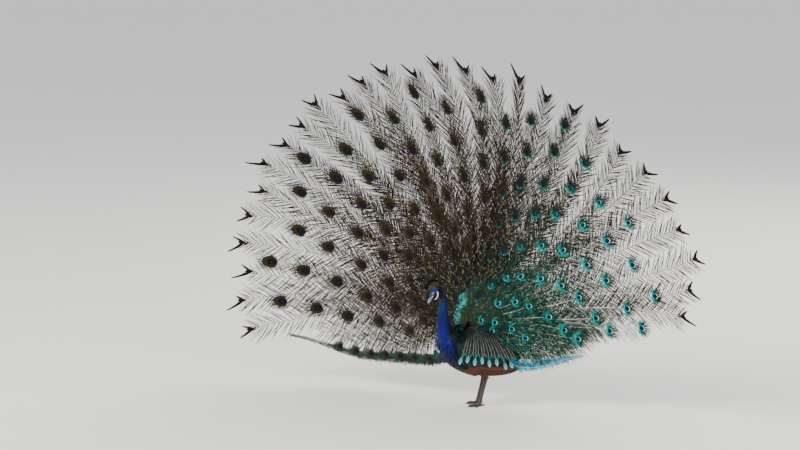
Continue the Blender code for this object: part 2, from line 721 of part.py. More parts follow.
def make_wings():
    """Each wing hangs at the flank: a shell of coverts with quills that point back and down."""
    for name, hand in (("wing_left", 1), ("wing_right", -1)):
        shell = wing_form(name, hand)
        quills = []
        for k in range(WING_QUILLS):
            part = k / (WING_QUILLS - 1)
            start, bend, end = (
                np.array(lowest) * (1 - part) + np.array(highest) * part
                for lowest, highest in (QUILL_STARTS, QUILL_BENDS, QUILL_ENDS)
            )
            path = []
            for x in (0.0, 0.40, 0.86, 1.0):
                place = (1 - x) ** 2 * start + 2 * x * (1 - x) * bend + x * x * end
                lift = 0.0014 * k
                path.append(body(place[0], hand * (place[1] + lift), place[2]))
            across = [UP * 0.96 + HEADING * 0.12] * 4
            quills.append(vane("quill", path, [0.006, 0.012, 0.012, 0.0], across, 0.0009))
        apply_boolean(shell, quills, "UNION")
        apply_boolean(shell, [torso_mesh("torso_cutter", GAP)], "DIFFERENCE")
        finish_with(shell, (0.16, 0.05, 0.02), 0.6)


def tail_axes():
    """Root, side, up and forward of the stiff tail that props the train."""
    lean = math.radians(13)
    up = np.array([0.0, -math.sin(lean), math.cos(lean)])
    forward = np.array([0.0, -math.cos(lean), -math.sin(lean)])
    return body(-0.165, 0, 0.405), np.array([1.0, 0.0, 0.0]), up, forward


def make_tail():
    """Broad quills in a half circle behind the train, rooted over the rump."""
    root, side, up, forward = tail_axes()
    pad = ball("tail", root - up * 0.004, (0.020, 0.048, 0.034), 8, 12, (forward, side, up))
    quills = []
    for k in range(TAIL_QUILLS):
        part = k / (TAIL_QUILLS - 1)
        turn = math.radians(-76 + 152 * part)
        out = math.sin(turn) * side + math.cos(turn) * up
        over = math.cos(turn) * side - math.sin(turn) * up
        reach = 0.40 - 0.05 * abs(2 * part - 1) ** 2
        depth = 0.0018 * (k - (TAIL_QUILLS - 1) / 2)
        path = [root + out * x * reach + forward * (depth + 0.012 * x * x) for x in (0.04, 0.45, 0.92, 1.0)]
        quills.append(vane("quill", path, [0.002, 0.012, 0.019, 0.0], [over] * 4, 0.0009))
    apply_boolean(pad, quills, "UNION")
    apply_boolean(pad, [torso_mesh("torso_cutter", GAP)], "DIFFERENCE")
    finish_with(pad, (0.13, 0.09, 0.06), 0.7)


def make_legs():
    """Thigh, scaled shank with its spur, and foot, for each side."""
    for side_name, hand in (("left", 1), ("right", -1)):
        foot = (hand * FOOT_STEP, hand * FOOT_SIDE)
        hock = np.array([foot[0] + HOCK[0], foot[1], HOCK[1]])
        thigh_top = np.array([foot[0] * 0.6 + 0.012, hand * 0.052, 0.225])
        make_thigh("thigh_" + side_name, thigh_top, hock, hand)
        make_shank("shank_" + side_name, foot, hock, hand)
        make_foot("foot_" + side_name, foot, hand)


def along_limb(name, start, end, radii, sides, stretch=1.0):
    """A limb as rings along a straight line, with a rounded end."""
    start, end = np.asarray(start, float), np.asarray(end, float)
    run = (end - start) / np.linalg.norm(end - start)
    across = LEFT - run * float(LEFT @ run)
    across /= np.linalg.norm(across)
    front = np.cross(run, across)
    rows = []
    for place, radius in radii:
        middle = start + (end - start) * place
        rows.append(ring(middle, across * radius, front * radius * stretch, sides))
    return loft(name, rows, start + (end - start) * (radii[0][0] - 0.01), start + (end - start) * (radii[-1][0] + 0.01))


def make_thigh(name, top, hock, hand):
    """The feathered thigh, from the flank down to just above the hock."""
    start, end = body(*top), body(*hock)
    radii = ((-0.25, 0.020), (0.0, 0.034), (0.3, 0.035), (0.6, 0.027), (0.8, 0.019), (0.93, 0.0136))
    made = along_limb(name, start, end, radii, 14, 1.15)
    apply_boolean(made, [torso_mesh("torso_cutter", GAP)], "DIFFERENCE")
    cuts = [wing_form("wing_cutter", hand, GAP), slab("cut", body(*hock) + UP * 0.008, UP, GAP, 0.3, -1)]
    apply_boolean(made, cuts, "DIFFERENCE")
    finish_with(made, (0.10, 0.05, 0.03), 0.8)


def make_shank(name, foot, hock, hand):
    """The bare shank, wider at the hock and the ankle, with one spur behind."""
    ankle = body(foot[0], foot[1], 0.012)
    top = body(*hock)
    radii = ((-0.02, 0.0108), (0.10, 0.0096), (0.50, 0.0088), (0.90, 0.0104), (1.0, 0.0128), (1.09, 0.0118))
    made = along_limb(name, ankle, top, radii, 12, 1.15)
    root = ankle + (top - ankle) * 0.36
    back = -HEADING * 0.9 + UP * 0.25 - LEFT * hand * 0.35
    spur = along_limb("spur", root, root + back * 0.023, ((-0.1, 0.0040), (0.4, 0.0030), (0.9, 0.0010)), 8)
    apply_boolean(made, [spur], "UNION")
    cuts = [
        slab("cut", top + UP * 0.008, UP, GAP, 0.3, 1),
        slab("cut", body(foot[0], foot[1], 0.0135), UP, GAP, 0.3, -1),
    ]
    apply_boolean(made, cuts, "DIFFERENCE")
    finish_with(made, (0.22, 0.17, 0.14), 0.65)


def make_foot(name, foot, hand):
    """Three toes forward and one back, with claws, all on one level sole."""
    middle = body(foot[0], foot[1], 0.0)
    flat = (UP, HEADING, LEFT)
    pad = ball(name, middle + UP * 0.0070, (0.0115, 0.0150, 0.0138), 6, 10, flat)
    toes = []
    for turn, length in TOES:
        turn = math.radians(turn)
        out = HEADING * math.cos(turn) + LEFT * math.sin(turn)
        over = LEFT * math.cos(turn) - HEADING * math.sin(turn)
        r = TOE_RADIUS * (1.0 if length > 0.04 else 0.85)
        rows = []
        bumps = ((-0.06, 0.95), (0.20, 1.0), (0.38, 0.80), (0.58, 0.95), (0.84, 0.70))
        for part, size in bumps:
            rows.append(ring(middle + out * length * part + UP * r * size * 0.80, over * r * size, UP * r * size, 7))
        claw_root = middle + out * length * 0.93 + UP * r * 0.62
        rows.append(ring(claw_root, over * r * 0.34, UP * r * 0.42, 7))
        end = middle + out * length * 1.10 + UP * r * 0.16
        toes.append(loft("toe", rows, middle - out * length * 0.10 + UP * r, end))
    apply_boolean(pad, toes, "UNION")
    cuts = [
        slab("floor", middle, UP, 0.0, 0.3, -1),
        slab("cut", body(foot[0], foot[1], 0.0135), UP, GAP, 0.3, 1),
    ]
    apply_boolean(pad, cuts, "DIFFERENCE")
    finish_with(pad, (0.22, 0.17, 0.14), 0.65)


def centre_on_floor():
    """Moves everything so that the box's middle stands over the origin, with the soles at zero."""
    low, high = np.full(3, 1e9), np.full(3, -1e9)
    for made in bpy.context.scene.objects:
        points = np.array([v.co[:] for v in made.data.vertices])
        low, high = np.minimum(low, points.min(0)), np.maximum(high, points.max(0))
    move = np.array([-(low[0] + high[0]) / 2, -(low[1] + high[1]) / 2, -low[2]])
    for made in bpy.context.scene.objects:
        made.location = move


def main():
    """Builds every node of the bird."""
    for old in list(bpy.data.objects):
        bpy.data.objects.remove(old)
    make_torso_and_neck()
    make_head()
    make_bill()
    make_eyes()
    make_crest()
    make_train()
    make_wings()
    make_tail()
    make_legs()
    centre_on_floor()


main()
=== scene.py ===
"""A peacock in full display, life size, dressed from its skin to the last barb of its train.

Metres, +Z up. The raised train faces -Y and spreads along X. Places on the bird are given in its own
terms: ahead of the feet, to the bird's left, and above the floor.
"""

import json
import logging
import math
from dataclasses import dataclass, field
from enum import Enum
from typing import Callable, Iterable, Sequence

import bpy
import numpy as np
from mathutils import Matrix, Vector


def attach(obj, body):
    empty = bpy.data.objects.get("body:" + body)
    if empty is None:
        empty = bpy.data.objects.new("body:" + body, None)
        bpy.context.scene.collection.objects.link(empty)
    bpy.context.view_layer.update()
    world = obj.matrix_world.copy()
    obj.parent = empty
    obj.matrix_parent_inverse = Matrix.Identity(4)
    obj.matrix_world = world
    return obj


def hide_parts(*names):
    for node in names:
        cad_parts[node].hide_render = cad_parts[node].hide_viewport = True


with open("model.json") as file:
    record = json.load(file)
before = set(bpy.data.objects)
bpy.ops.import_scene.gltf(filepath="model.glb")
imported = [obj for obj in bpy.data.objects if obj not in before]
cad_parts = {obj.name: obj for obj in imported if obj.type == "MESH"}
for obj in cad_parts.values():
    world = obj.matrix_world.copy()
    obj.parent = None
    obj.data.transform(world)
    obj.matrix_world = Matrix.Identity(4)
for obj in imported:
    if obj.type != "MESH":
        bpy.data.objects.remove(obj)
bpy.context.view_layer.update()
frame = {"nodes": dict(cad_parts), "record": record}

log = logging.getLogger("peacock")

# Size of the picture that the camera is set for, in pixels.
IMAGE_WIDE = 800
IMAGE_HIGH = 450
# Turn between neighbours of an even spread over a disc.
GOLDEN_TURN = 2.39996
UP = np.array([0.0, 0.0, 1.0])
# Stations along a leaf-shaped feather, a stiff barb and a loose barb, as shares of their length.
LEAF = np.array([0.0, 0.3, 0.6, 0.85, 1.0])
BARB = np.array([0.0, 0.4, 0.75, 1.0])
LOOSE = np.array([0.0, 0.35, 0.70, 1.0])
# Widths at the stations of a scale and of a barb, as shares of the widest.
SCALE_WIDTH = np.array([0.5, 0.92, 1.0, 0.72, 0.0])
BARB_WIDTH = np.array([1.0, 1.0, 0.8, 0.0])
# The bird's two sides, by the sign of a place to its left.
SIDES = {1: "left", -1: "right"}

# Short names of types. A Place lies on the unwrapped skin. A Surface is a mesh as arrays: points,
# normals and triangles. A Curve is read between its points: their places, and the values there.
Array = np.ndarray
Draw = np.random.Generator
Material = bpy.types.Material
Thing = bpy.types.Object
Pair = tuple[float, float]
Triple = tuple[float, float, float]
Place = Array | Pair
Inputs = dict[str | int, object] | list[object]
Colour = Triple
Surface = tuple[Array, Array, Array]
Curve = tuple[tuple[float, ...], tuple[float, ...]]


def rgb(red: int, green: int, blue: int) -> Colour:
    """A colour as the eye sees it, 0 to 255, turned into the light that a shader takes."""
    parts = (red / 255, green / 255, blue / 255)
    return tuple(p / 12.92 if p <= 0.04045 else ((p + 0.055) / 1.055) ** 2.4 for p in parts)


def unit(vectors: Array) -> Array:
    """Vectors scaled to length one along their last axis."""
    return vectors / np.maximum(np.linalg.norm(vectors, axis=-1, keepdims=True), 1e-12)


def ease(value: Array | float, low: float, high: float) -> Array:
    """Zero below low, one above high and smooth between them."""
    x = np.clip((value - low) / (high - low), 0.0, 1.0)
    return x * x * (3 - 2 * x)


def ease_turn(turn: Array | float, low: float, high: float) -> Array:
    """Eases a turn in radians between two limits in degrees."""
    return ease(turn, math.radians(low), math.radians(high))


def leaned(lean: float) -> Array:
    """Side, up and forward of a fan that leans back, as rows."""
    c, s = math.cos(lean), math.sin(lean)
    return np.array([[1.0, 0.0, 0.0], [0.0, -s, c], [0.0, -c, -s]])


def bent(x: Array, start: Sequence[float], bend: Sequence[float], end: Sequence[float]) -> Array:
    """Points at shares x of a line that leaves its start towards the bend and comes from there to its end."""
    x = x.reshape(-1, 1)
    return (1 - x) ** 2 * np.array(start) + 2 * x * (1 - x) * np.array(bend) + x * x * np.array(end)


def sunflower(count: int, phase: float = math.pi) -> tuple[Array, Array, Array]:
    """Points spread evenly over a disc: their order, share of its radius and turn."""
    order = np.arange(count)
    turn = (order * GOLDEN_TURN + phase) % (2 * math.pi) - math.pi
    return order, np.sqrt((order + 0.5) / count), turn


def disc_patch(share: Array, turn: Array) -> Array:
    """Places of such points on the unwrapped skin."""
    return 0.5 + 0.45 * share[:, None] * np.stack([np.sin(turn), np.cos(turn)], -1)


def combed(flow: Array, normals: Array) -> Array:
    """Directions laid flat on the skin."""
    return unit(flow - normals * (flow * normals).sum(axis=1, keepdims=True))


def leaves(roots: Array, flow: Array, reach: Array, normals: Array, rise: Array) -> Array:
    """Paths of feathers that follow the flow over each station's reach and rise off the skin."""
    return roots[:, None] + flow[:, None] * reach[..., None] + normals[:, None] * rise[..., None]


def maths(operation: str, swapped: bool = False) -> Callable[..., "Wire"]:
    """Writes a method of Wire that adds one Math node.

    Args:
        operation: what the node does.
        swapped: whether this wire comes after the other value.

    Returns:
        The method.
    """

    def act(self: "Wire", *others: "Wire | float") -> "Wire":
        """Adds the node over this wire and the others."""
        parts = [*others, self] if swapped else [self, *others]
        return self.sheet.node("ShaderNodeMath", {"operation": operation}, parts)

    return act


class Wire:
    """A node's output that takes part in Python arithmetic."""

    def __init__(self, sheet: "Sheet", socket: bpy.types.NodeSocket) -> None:
        """Keeps the sheet that holds the node and the output itself."""
        self.sheet = sheet
        self.socket = socket

    __add__ = __radd__ = maths("ADD")
    __mul__ = __rmul__ = maths("MULTIPLY")
    __sub__ = maths("SUBTRACT")
    __rsub__ = maths("SUBTRACT", swapped=True)
    __truediv__ = maths("DIVIDE")
    __pow__ = maths("POWER")
    sine = maths("SINE")
    # The value without its sign, the greater of two, and the angle whose tangent is this over the other.
    size = maths("ABSOLUTE")
    most = maths("MAXIMUM")
    angle = maths("ARCTAN2")

    def above(self, low: float, high: float) -> "Wire":
        """Zero under low, one over high, smooth between, and the reverse where low is the greater."""
        return self.sheet.node(
            "ShaderNodeMapRange",
            {"interpolation_type": "SMOOTHSTEP"},
            {"Value": self, "From Min": low, "From Max": high},
        )


class Sheet:
    """One material's node tree, written as expressions."""

    def __init__(self, name: str) -> None:
        """Starts a material of that name with an empty Principled surface."""
        self.material = bpy.data.materials.new(name)
        self.material.use_nodes = True
        self.tree = self.material.node_tree
        self.shader = self.tree.nodes["Principled BSDF"]

    def node(
        self, kind: str, settings: dict[str, object] | None = None, values: Inputs | None = None,
        out: int | str = 0,
    ) -> Wire:
        """Adds a node.

        Args:
            kind: the node's type.
            settings: its own properties, set first, and "stops" for a colour ramp.
            values: numbers, colours or wires for its inputs, by place or by name.
            out: the output that is returned.

        Returns:
            The chosen output as a wire.
        """
        made = self.tree.nodes.new(kind)
        for key, value in (settings or {}).items():
            if key == "stops":
                self._set_stops(made.color_ramp, value)
            else:
                setattr(made, key, value)
        pairs = values.items() if isinstance(values, dict) else enumerate(values or [])
        for key, value in pairs:
            self.feed(made.inputs[key], value)
        return Wire(self, made.outputs[out])

    @staticmethod
    def _set_stops(ramp: bpy.types.ColorRamp, stops: Sequence[tuple[float, Colour]]) -> None:
        """Gives a colour ramp its stops."""
        while len(ramp.elements) < len(stops):
            ramp.elements.new(0.5)
        for element, (place, colour) in zip(ramp.elements, stops):
            element.position = place
            element.color = (*colour, 1.0)

    def feed(self, socket: bpy.types.NodeSocket, value: object) -> None:
        """Links a wire to an input, or sets the input to a number or a colour."""
        if isinstance(value, Wire):
            self.tree.links.new(value.socket, socket)
        elif isinstance(value, tuple) and len(value) == 3 and socket.type == "RGBA":
            socket.default_value = (*value, 1.0)
        else:
            socket.default_value = value

    def place(self) -> Wire:
        """The point on the surface, in metres, as the model stands."""
        return self.node("ShaderNodeTexCoord", out="Object")

    def split(self, vector: Wire) -> tuple[Wire, Wire, Wire]:
        """The three parts of a vector."""
        made = self.tree.nodes.new("ShaderNodeSeparateXYZ")
        self.tree.links.new(vector.socket, made.inputs[0])
        return tuple(Wire(self, out) for out in made.outputs)

    def vane(self) -> tuple[Wire, Wire]:
        """Place on a feather: across it and along it, each from 0 to 1."""
        across, along, _ = self.split(self.node("ShaderNodeUVMap", {"uv_map": VANE_MAP}))
        return across, along

    def shade(self) -> Wire:
        """A number from 0 to 1 that differs from feather to feather."""
        return self.node("ShaderNodeAttribute", {"attribute_name": SHADE}, out="Fac")

    def noise(self, scale: float, detail: float = 3.0, vector: Wire | None = None) -> Wire:
        """Soft cloudy noise from 0 to 1 at a scale in cycles a metre."""
        values = {"Scale": scale, "Detail": detail}
        values["Vector"] = vector or self.place()
        return self.node("ShaderNodeTexNoise", None, values)

    def along_axis(self, axis: Sequence[float], origin: Sequence[float]) -> Wire:
        """Distance of the surface point past an origin, measured along an axis."""
        kind = "ShaderNodeVectorMath"
        moved = self.node(kind, {"operation": "SUBTRACT"}, [self.place(), tuple(origin)])
        return self.node(kind, {"operation": "DOT_PRODUCT"}, [moved, tuple(axis)], out="Value")

    def in_head(self, stance: "Stance") -> tuple[Wire, Wire, Wire]:
        """Distance ahead, left and up from the middle of the head, in its own size."""
        middle = stance.at(*stance.head_place)
        return tuple(self.along_axis(axis, middle) / stance.head_scale for axis in stance.head_axes)

    def in_fan(self, bowl: "Bowl") -> tuple[Wire, Wire]:
        """Distance from the train's root over its face, and the turn from upright in degrees."""
        side, up = (self.along_axis(axis, bowl.middle) for axis in bowl.axes[:2])
        return (side * side + up * up) ** 0.5, side.angle(up) * (180 / math.pi)

    def mix(self, factor: Wire | float, first: object, second: object) -> Wire:
        """A colour between two colours."""
        values = {0: factor, 6: first, 7: second}
        return self.node("ShaderNodeMix", {"data_type": "RGBA"}, values, out=2)

    def ramp(self, factor: Wire, stops: Sequence[tuple[float, Colour]]) -> Wire:
        """A colour read from a row of stops."""
        return self.node("ShaderNodeValToRGB", {"stops": stops}, [factor])

    def surface(
        self, base: object, roughness: object = 0.5, metallic: object = 0.0, bump: Wire | None = None,
        depth: float = 0.0004, **fixed: object,
    ) -> None:
        """Finishes the material.

        Args:
            base: base colour.
            roughness: roughness.
            metallic: metallic value.
            bump: height from 0 to 1 that the normal follows.
            depth: how deep that height is, in metres.
            fixed: numbers for other inputs, with _ for each blank.
        """
        self.feed(self.shader.inputs["Base Color"], base)
        self.feed(self.shader.inputs["Roughness"], roughness)
        self.feed(self.shader.inputs["Metallic"], metallic)
        if bump is not None:
            values = {"Height": bump, "Distance": depth, "Strength": 1.0}
            self.feed(self.shader.inputs["Normal"], self.node("ShaderNodeBump", None, values))
        for key, value in fixed.items():
            self.feed(self.shader.inputs[key.replace("_", " ")], value)


class Finish:
    """What every finish shares: it is made into one material of its own name."""

    name: str

    def make(self) -> Material:
        """Builds the material."""
        s = Sheet(self.name)
        self.lay(s)
        return s.material

    def lay(self, s: Sheet) -> None:
        """Mixes the colours on the material's sheet."""
        raise NotImplementedError


# Layers of each mesh: place on the feather, place on the unwrapped skin, and the feather's own number.
VANE_MAP = "Vane"
BAKE_MAP = "OFBake"
SHADE = "shade"
# Added to the own number of barbs that ring an eye.
HALO = 1.5
# Width of a tuft's patch on the unwrapped skin.
PATCH = 0.003
# On the back of a disc, places are REAR_STEP higher than on its front, and so lie above REAR.
REAR = 1.4
REAR_STEP = 2.0


class Slot(Enum):
    """The record's finishes."""

    NECK = "neck_plumage"
    BODY = "body_plumage"
    CREST = "crest_plumage"
    TRAIN = "train_plumage"
    TAIL = "tail_plumage"
    WING = "wing_plumage"
    LEG = "leg_skin"
    HORN = "bill_horn"
    EYE = "eye"


@dataclass(frozen=True)
class Stance:
    """Where the bird stands, and which way its body and head point."""

    feet: Triple
    body_turn: float = math.radians(25)
    head_turn: float = math.radians(45)
    head_pitch: float = math.radians(-45)
    head_place: Triple = (0.286, 0.0, 0.629)
    head_scale: float = 1.02

    @property
    def heading(self) -> Array:
        """The way the body points, level."""
        return np.array([-math.sin(self.body_turn), -math.cos(self.body_turn), 0.0])

    @property
    def left(self) -> Array:
        """The bird's left."""
        return np.array([math.cos(self.body_turn), -math.sin(self.body_turn), 0.0])

    def at(self, ahead: object, left: object, high: object) -> Array:
        """World places of points given in the body's own terms."""
        parts = np.stack(np.broadcast_arrays(*(np.asarray(v, float) for v in (ahead, left, high))), -1)
        return np.array(self.feet) + parts @ np.array([self.heading, self.left, (0.0, 0.0, 1.0)])

    def own(self, points: Array) -> Array:
        """The body's own terms for world points: ahead, left and high."""
        return (points - np.array(self.feet)) @ np.array([self.heading, self.left, (0.0, 0.0, 1.0)]).T

    @property
    def head_axes(self) -> Array:
        """Forward, left and up of the head, as rows."""
        flat = np.array([-math.sin(self.head_turn), -math.cos(self.head_turn), 0.0])
        side = np.array([math.cos(self.head_turn), -math.sin(self.head_turn), 0.0])
        forward = flat * math.cos(self.head_pitch) + np.array([0.0, 0.0, math.sin(self.head_pitch)])
        return np.array([forward, side, np.cross(forward, side)])

    def in_head(self, ahead: object, left: object, high: object) -> Array:
        """World places of points given in the head's own terms."""
        parts = np.stack(np.broadcast_arrays(*(np.asarray(v, float) for v in (ahead, left, high))), -1)
        return self.at(*self.head_place) + self.head_scale * parts @ self.head_axes

    def head_own(self, points: Array) -> Array:
        """The head's own terms for world points."""
        return (points - self.at(*self.head_place)) @ self.head_axes.T / self.head_scale


@dataclass(frozen=True)
class Bowl:
    """The surface that the raised train lies on, and its one root."""

    stance: Stance
    root: Triple = (0.056, 0.0, 0.460)
    lean: float = math.radians(10.7)
    back: float = -0.405
    cup: float = 0.295
    level_front: float = 0.012
    level_step: float = 0.0034

    @property
    def axes(self) -> Array:
        """Side, up and forward of the fan, as rows."""
        return leaned(self.lean)

    @property
    def middle(self) -> Array:
        """World place of the root."""
        return self.stance.at(*self.root)

    def depth(self, radius: Array) -> Array:
        """How far the bowl stands before its root."""
        return self.back * radius + self.cup * radius**2

    def point(self, radius: object, turn: object, level: object = 0.0, across: object = 0.0) -> Array:
        """Points of the bowl from radius, turn from upright, level before it and place across."""
        radius, turn, level, across = np.broadcast_arrays(
            *(np.asarray(v, float) for v in (radius, turn, level, across))
        )
        side = radius * np.sin(turn) + across * np.cos(turn)
        up = radius * np.cos(turn) - across * np.sin(turn)
        forward = self.depth(radius) + level
        return self.middle + np.stack([side, up, forward], -1) @ self.axes

    def tier(self, number: float) -> float:
        """Level of a tier of feathers, the short ones in front."""
        return self.level_front - self.level_step * number


class Tufts:
    """Feather parts gathered as arrays and joined into one mesh."""

    def __init__(self, name: str) -> None:
        """Starts an empty piece of that name."""
        self.name = name
        self.points: list[Array] = []
        self.faces: list[Array] = []
        self.vanes: list[Array] = []
        self.patches: list[Array] = []
        self.shades: list[Array] = []
        self.count = 0

    def add(
        self, points: Array, faces: Array, vane: Array, patch: Place, shade: Array | float,
        patch_size: float = PATCH,
    ) -> None:
        """Adds a batch of like tufts.

        Args:
            points: places, one row of points for each tuft.
            faces: triangles over one tuft's points.
            vane: place across and along the feather of one tuft's points, or of every tuft's.
            patch: each tuft's root on the unwrapped skin, from 0 to 1, or one for all.
            shade: each tuft's own number from 0 to 1, or one for all.
            patch_size: how wide a tuft's patch is there.
        """
        many, each = points.shape[:2]
        patch, shade = np.broadcast_to(patch, (many, 2)), np.broadcast_to(shade, many)
        starts = self.count + np.arange(many)[:, None, None] * each
        vane = np.broadcast_to(vane, (many, each, 2))
        self.points.append(points.reshape(-1, 3))
        self.faces.append((faces[None] + starts).reshape(-1, 3))
        self.vanes.append(vane.reshape(-1, 2))
        inside = np.where(vane > REAR, vane - REAR_STEP, vane)
        spread = np.clip(patch[:, None, :], 0.004, 0.996) + (inside - 0.5) * patch_size
        self.patches.append(spread.reshape(-1, 2))
        self.shades.append(np.repeat(shade, each))
        self.count += many * each

    def sweep(
        self, path: Array, width: Array, thick: Array | float, facing: Array, patch: Place,
        shade: Array | float, sides: int = 3, cup: float = 0.0, reach: Pair = (0.0, 1.0),
    ) -> None:
        """Adds tapered rods or flat vanes that follow paths and end in a point.

        Args:
            path: places along each one, shape (many, stations, 3), or along a single one.
            width: half widths at the stations.
            thick: half thicknesses at the stations, or one for all.
            facing: rough direction that the flat side looks, one for each or one for all.
            patch: each root on the unwrapped skin, or one for all.
            shade: each one's own number, or one for all.
            sides: corners of the cross section.
            cup: how far the edges drop, as a share of the width.
            reach: place along the feather of the first and last station.
        """
        path = path if path.ndim == 3 else path[None]
        many, stations = path.shape[:2]
        run = unit(np.gradient(path, axis=1))
        facing = np.broadcast_to(facing if facing.ndim == 3 else facing.reshape(-1, 1, 3), path.shape)
        over = unit(np.cross(facing, run))
        front = np.cross(run, over)
        width = np.broadcast_to(width, (many, stations))[..., None, None]
        thick = np.broadcast_to(thick, (many, stations))[..., None, None]
        turn = 2 * math.pi * np.arange(sides) / sides
        c, s = np.cos(turn)[None, None, :, None], np.sin(turn)[None, None, :, None]
        rings = path[:, :, None] + over[:, :, None] * width * c
        rings = rings + front[:, :, None] * (thick * s - cup * width * c * c)
        body = rings[:, :-1].reshape(many, -1, 3)
        along = np.repeat(np.linspace(*reach, stations)[:-1], sides)
        across = np.tile(0.5 + 0.5 * np.cos(turn), stations - 1)
        vane = np.append(np.stack([across, along], -1), [[0.5, reach[1]]], axis=0)
        points = np.concatenate([body, path[:, -1:]], axis=1)
        self.add(points, self.rod_faces(stations, sides), vane, patch, shade)

    @staticmethod
    def rod_faces(stations: int, sides: int) -> Array:
        """Triangles of a rod with a closed root and a pointed tip."""
        faces = [(0, k + 1, k) for k in range(1, sides - 1)]
        for row in range(stations - 2):
            a = row * sides
            for k in range(sides):
                n = (k + 1) % sides
                faces += [(a + k, a + n, a + sides + n), (a + k, a + sides + n, a + sides + k)]
        last = (stations - 2) * sides
        faces += [(last + k, last + (k + 1) % sides, last + sides) for k in range(sides)]
        return np.array(faces)

    def build(self, finish: Finish | Material, slot: Slot, replaces: Iterable[str] = ()) -> None:
        """Makes the mesh, with its maps, and puts it on the bird.

        Args:
            finish: its finish, or the material that one has made.
            slot: the record's finish that it would take; not used.
            replaces: nodes that it stands for.
        """
        points = np.concatenate(self.points).astype(np.float32)
        faces = np.concatenate(self.faces).astype(np.int32)
        mesh = bpy.data.meshes.new(self.name)
        mesh.vertices.add(len(points))
        mesh.vertices.foreach_set("co", points.ravel())
        mesh.loops.add(faces.size)
        mesh.loops.foreach_set("vertex_index", faces.ravel())
        mesh.polygons.add(len(faces))
        mesh.polygons.foreach_set("loop_start", np.arange(0, faces.size, 3, dtype=np.int32))
        mesh.polygons.foreach_set("use_smooth", np.ones(len(faces), bool))
        mesh.update(calc_edges=True)
        for name, values in ((VANE_MAP, self.vanes), (BAKE_MAP, self.patches)):
            layer = mesh.uv_layers.new(name=name)
            layer.data.foreach_set("uv", np.concatenate(values).astype(np.float32)[faces.ravel()].ravel())
        tone = mesh.attributes.new(SHADE, "FLOAT", "POINT")
        tone.data.foreach_set("value", np.concatenate(self.shades).astype(np.float32))
        dress(placed(self.name, mesh), finish, replaces)


def dress(made: Thing, finish: Finish | Material, replaces: Iterable[str] = ()) -> None:
    """Gives a piece its finish, lets it ride on the bird and reports it."""
    made.data.materials.clear()
    made.data.materials.append(finish.make() if isinstance(finish, Finish) else finish)
    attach(made, "root")
    nodes = list(replaces)
    if nodes:
        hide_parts(*nodes)
    triangles = sum(len(p.vertices) - 2 for p in made.data.polygons)
    log.info("%s: %d triangles", made.name, triangles)


def placed(name: str, data: bpy.types.ID) -> Thing:
    """A new object in the scene over a mesh, a lamp or a camera."""
    made = bpy.data.objects.new(name, data)
    bpy.context.scene.collection.objects.link(made)
    return made


def select_only(*things: Thing) -> None:
    """Selects these objects and nothing else."""
    bpy.ops.object.select_all(action="DESELECT")
    for thing in things:
        thing.hide_set(False)
        thing.select_set(True)
    bpy.context.view_layer.objects.active = things[0]


def copy_of_nodes(name: str, nodes: Sequence[str]) -> Thing:
    """Copies of CAD nodes, merged point to point and joined into one object."""
    copies = [placed(name, frame["nodes"][node].data.copy()) for node in nodes]
    select_only(*copies)
    if len(copies) > 1:
        bpy.ops.object.join()
    made = bpy.context.view_layer.objects.active
    made.name = name
    face_out(merge=1e-5)
    return made


def face_out(merge: float = 0.0) -> None:
    """Joins the active mesh's points closer than a distance and turns its faces outwards."""
    bpy.ops.object.mode_set(mode="EDIT")
    bpy.ops.mesh.select_all(action="SELECT")
    if merge:
        bpy.ops.mesh.remove_doubles(threshold=merge)
    bpy.ops.mesh.normals_make_consistent(inside=False)
    bpy.ops.object.mode_set(mode="OBJECT")


def move_points(made: Thing, points: Array) -> None:
    """Puts a mesh's points in new places."""
    made.data.vertices.foreach_set("co", points.astype(np.float32).ravel())
    made.data.update()


def apply_modifier(made: Thing, kind: str, **settings: object) -> None:
    """Adds a modifier to the object and applies it."""
    select_only(made)
    step = made.modifiers.new(kind.lower(), kind)
    for key, value in settings.items():
        setattr(step, key, value)
    bpy.ops.object.modifier_apply(modifier=step.name)


def corner_normals(mesh: bpy.types.Mesh) -> Surface:
    """A mesh as arrays: its points, their normals and its triangles."""
    mesh.calc_loop_triangles()
    points = np.empty(len(mesh.vertices) * 3, np.float32)
    mesh.vertices.foreach_get("co", points)
    normals = np.empty(len(mesh.vertices) * 3, np.float32)
    mesh.vertices.foreach_get("normal", normals)
    faces = np.empty(len(mesh.loop_triangles) * 3, np.int32)
    mesh.loop_triangles.foreach_get("vertices", faces)
    return points.reshape(-1, 3).astype(float), normals.reshape(-1, 3).astype(float), faces.reshape(-1, 3)


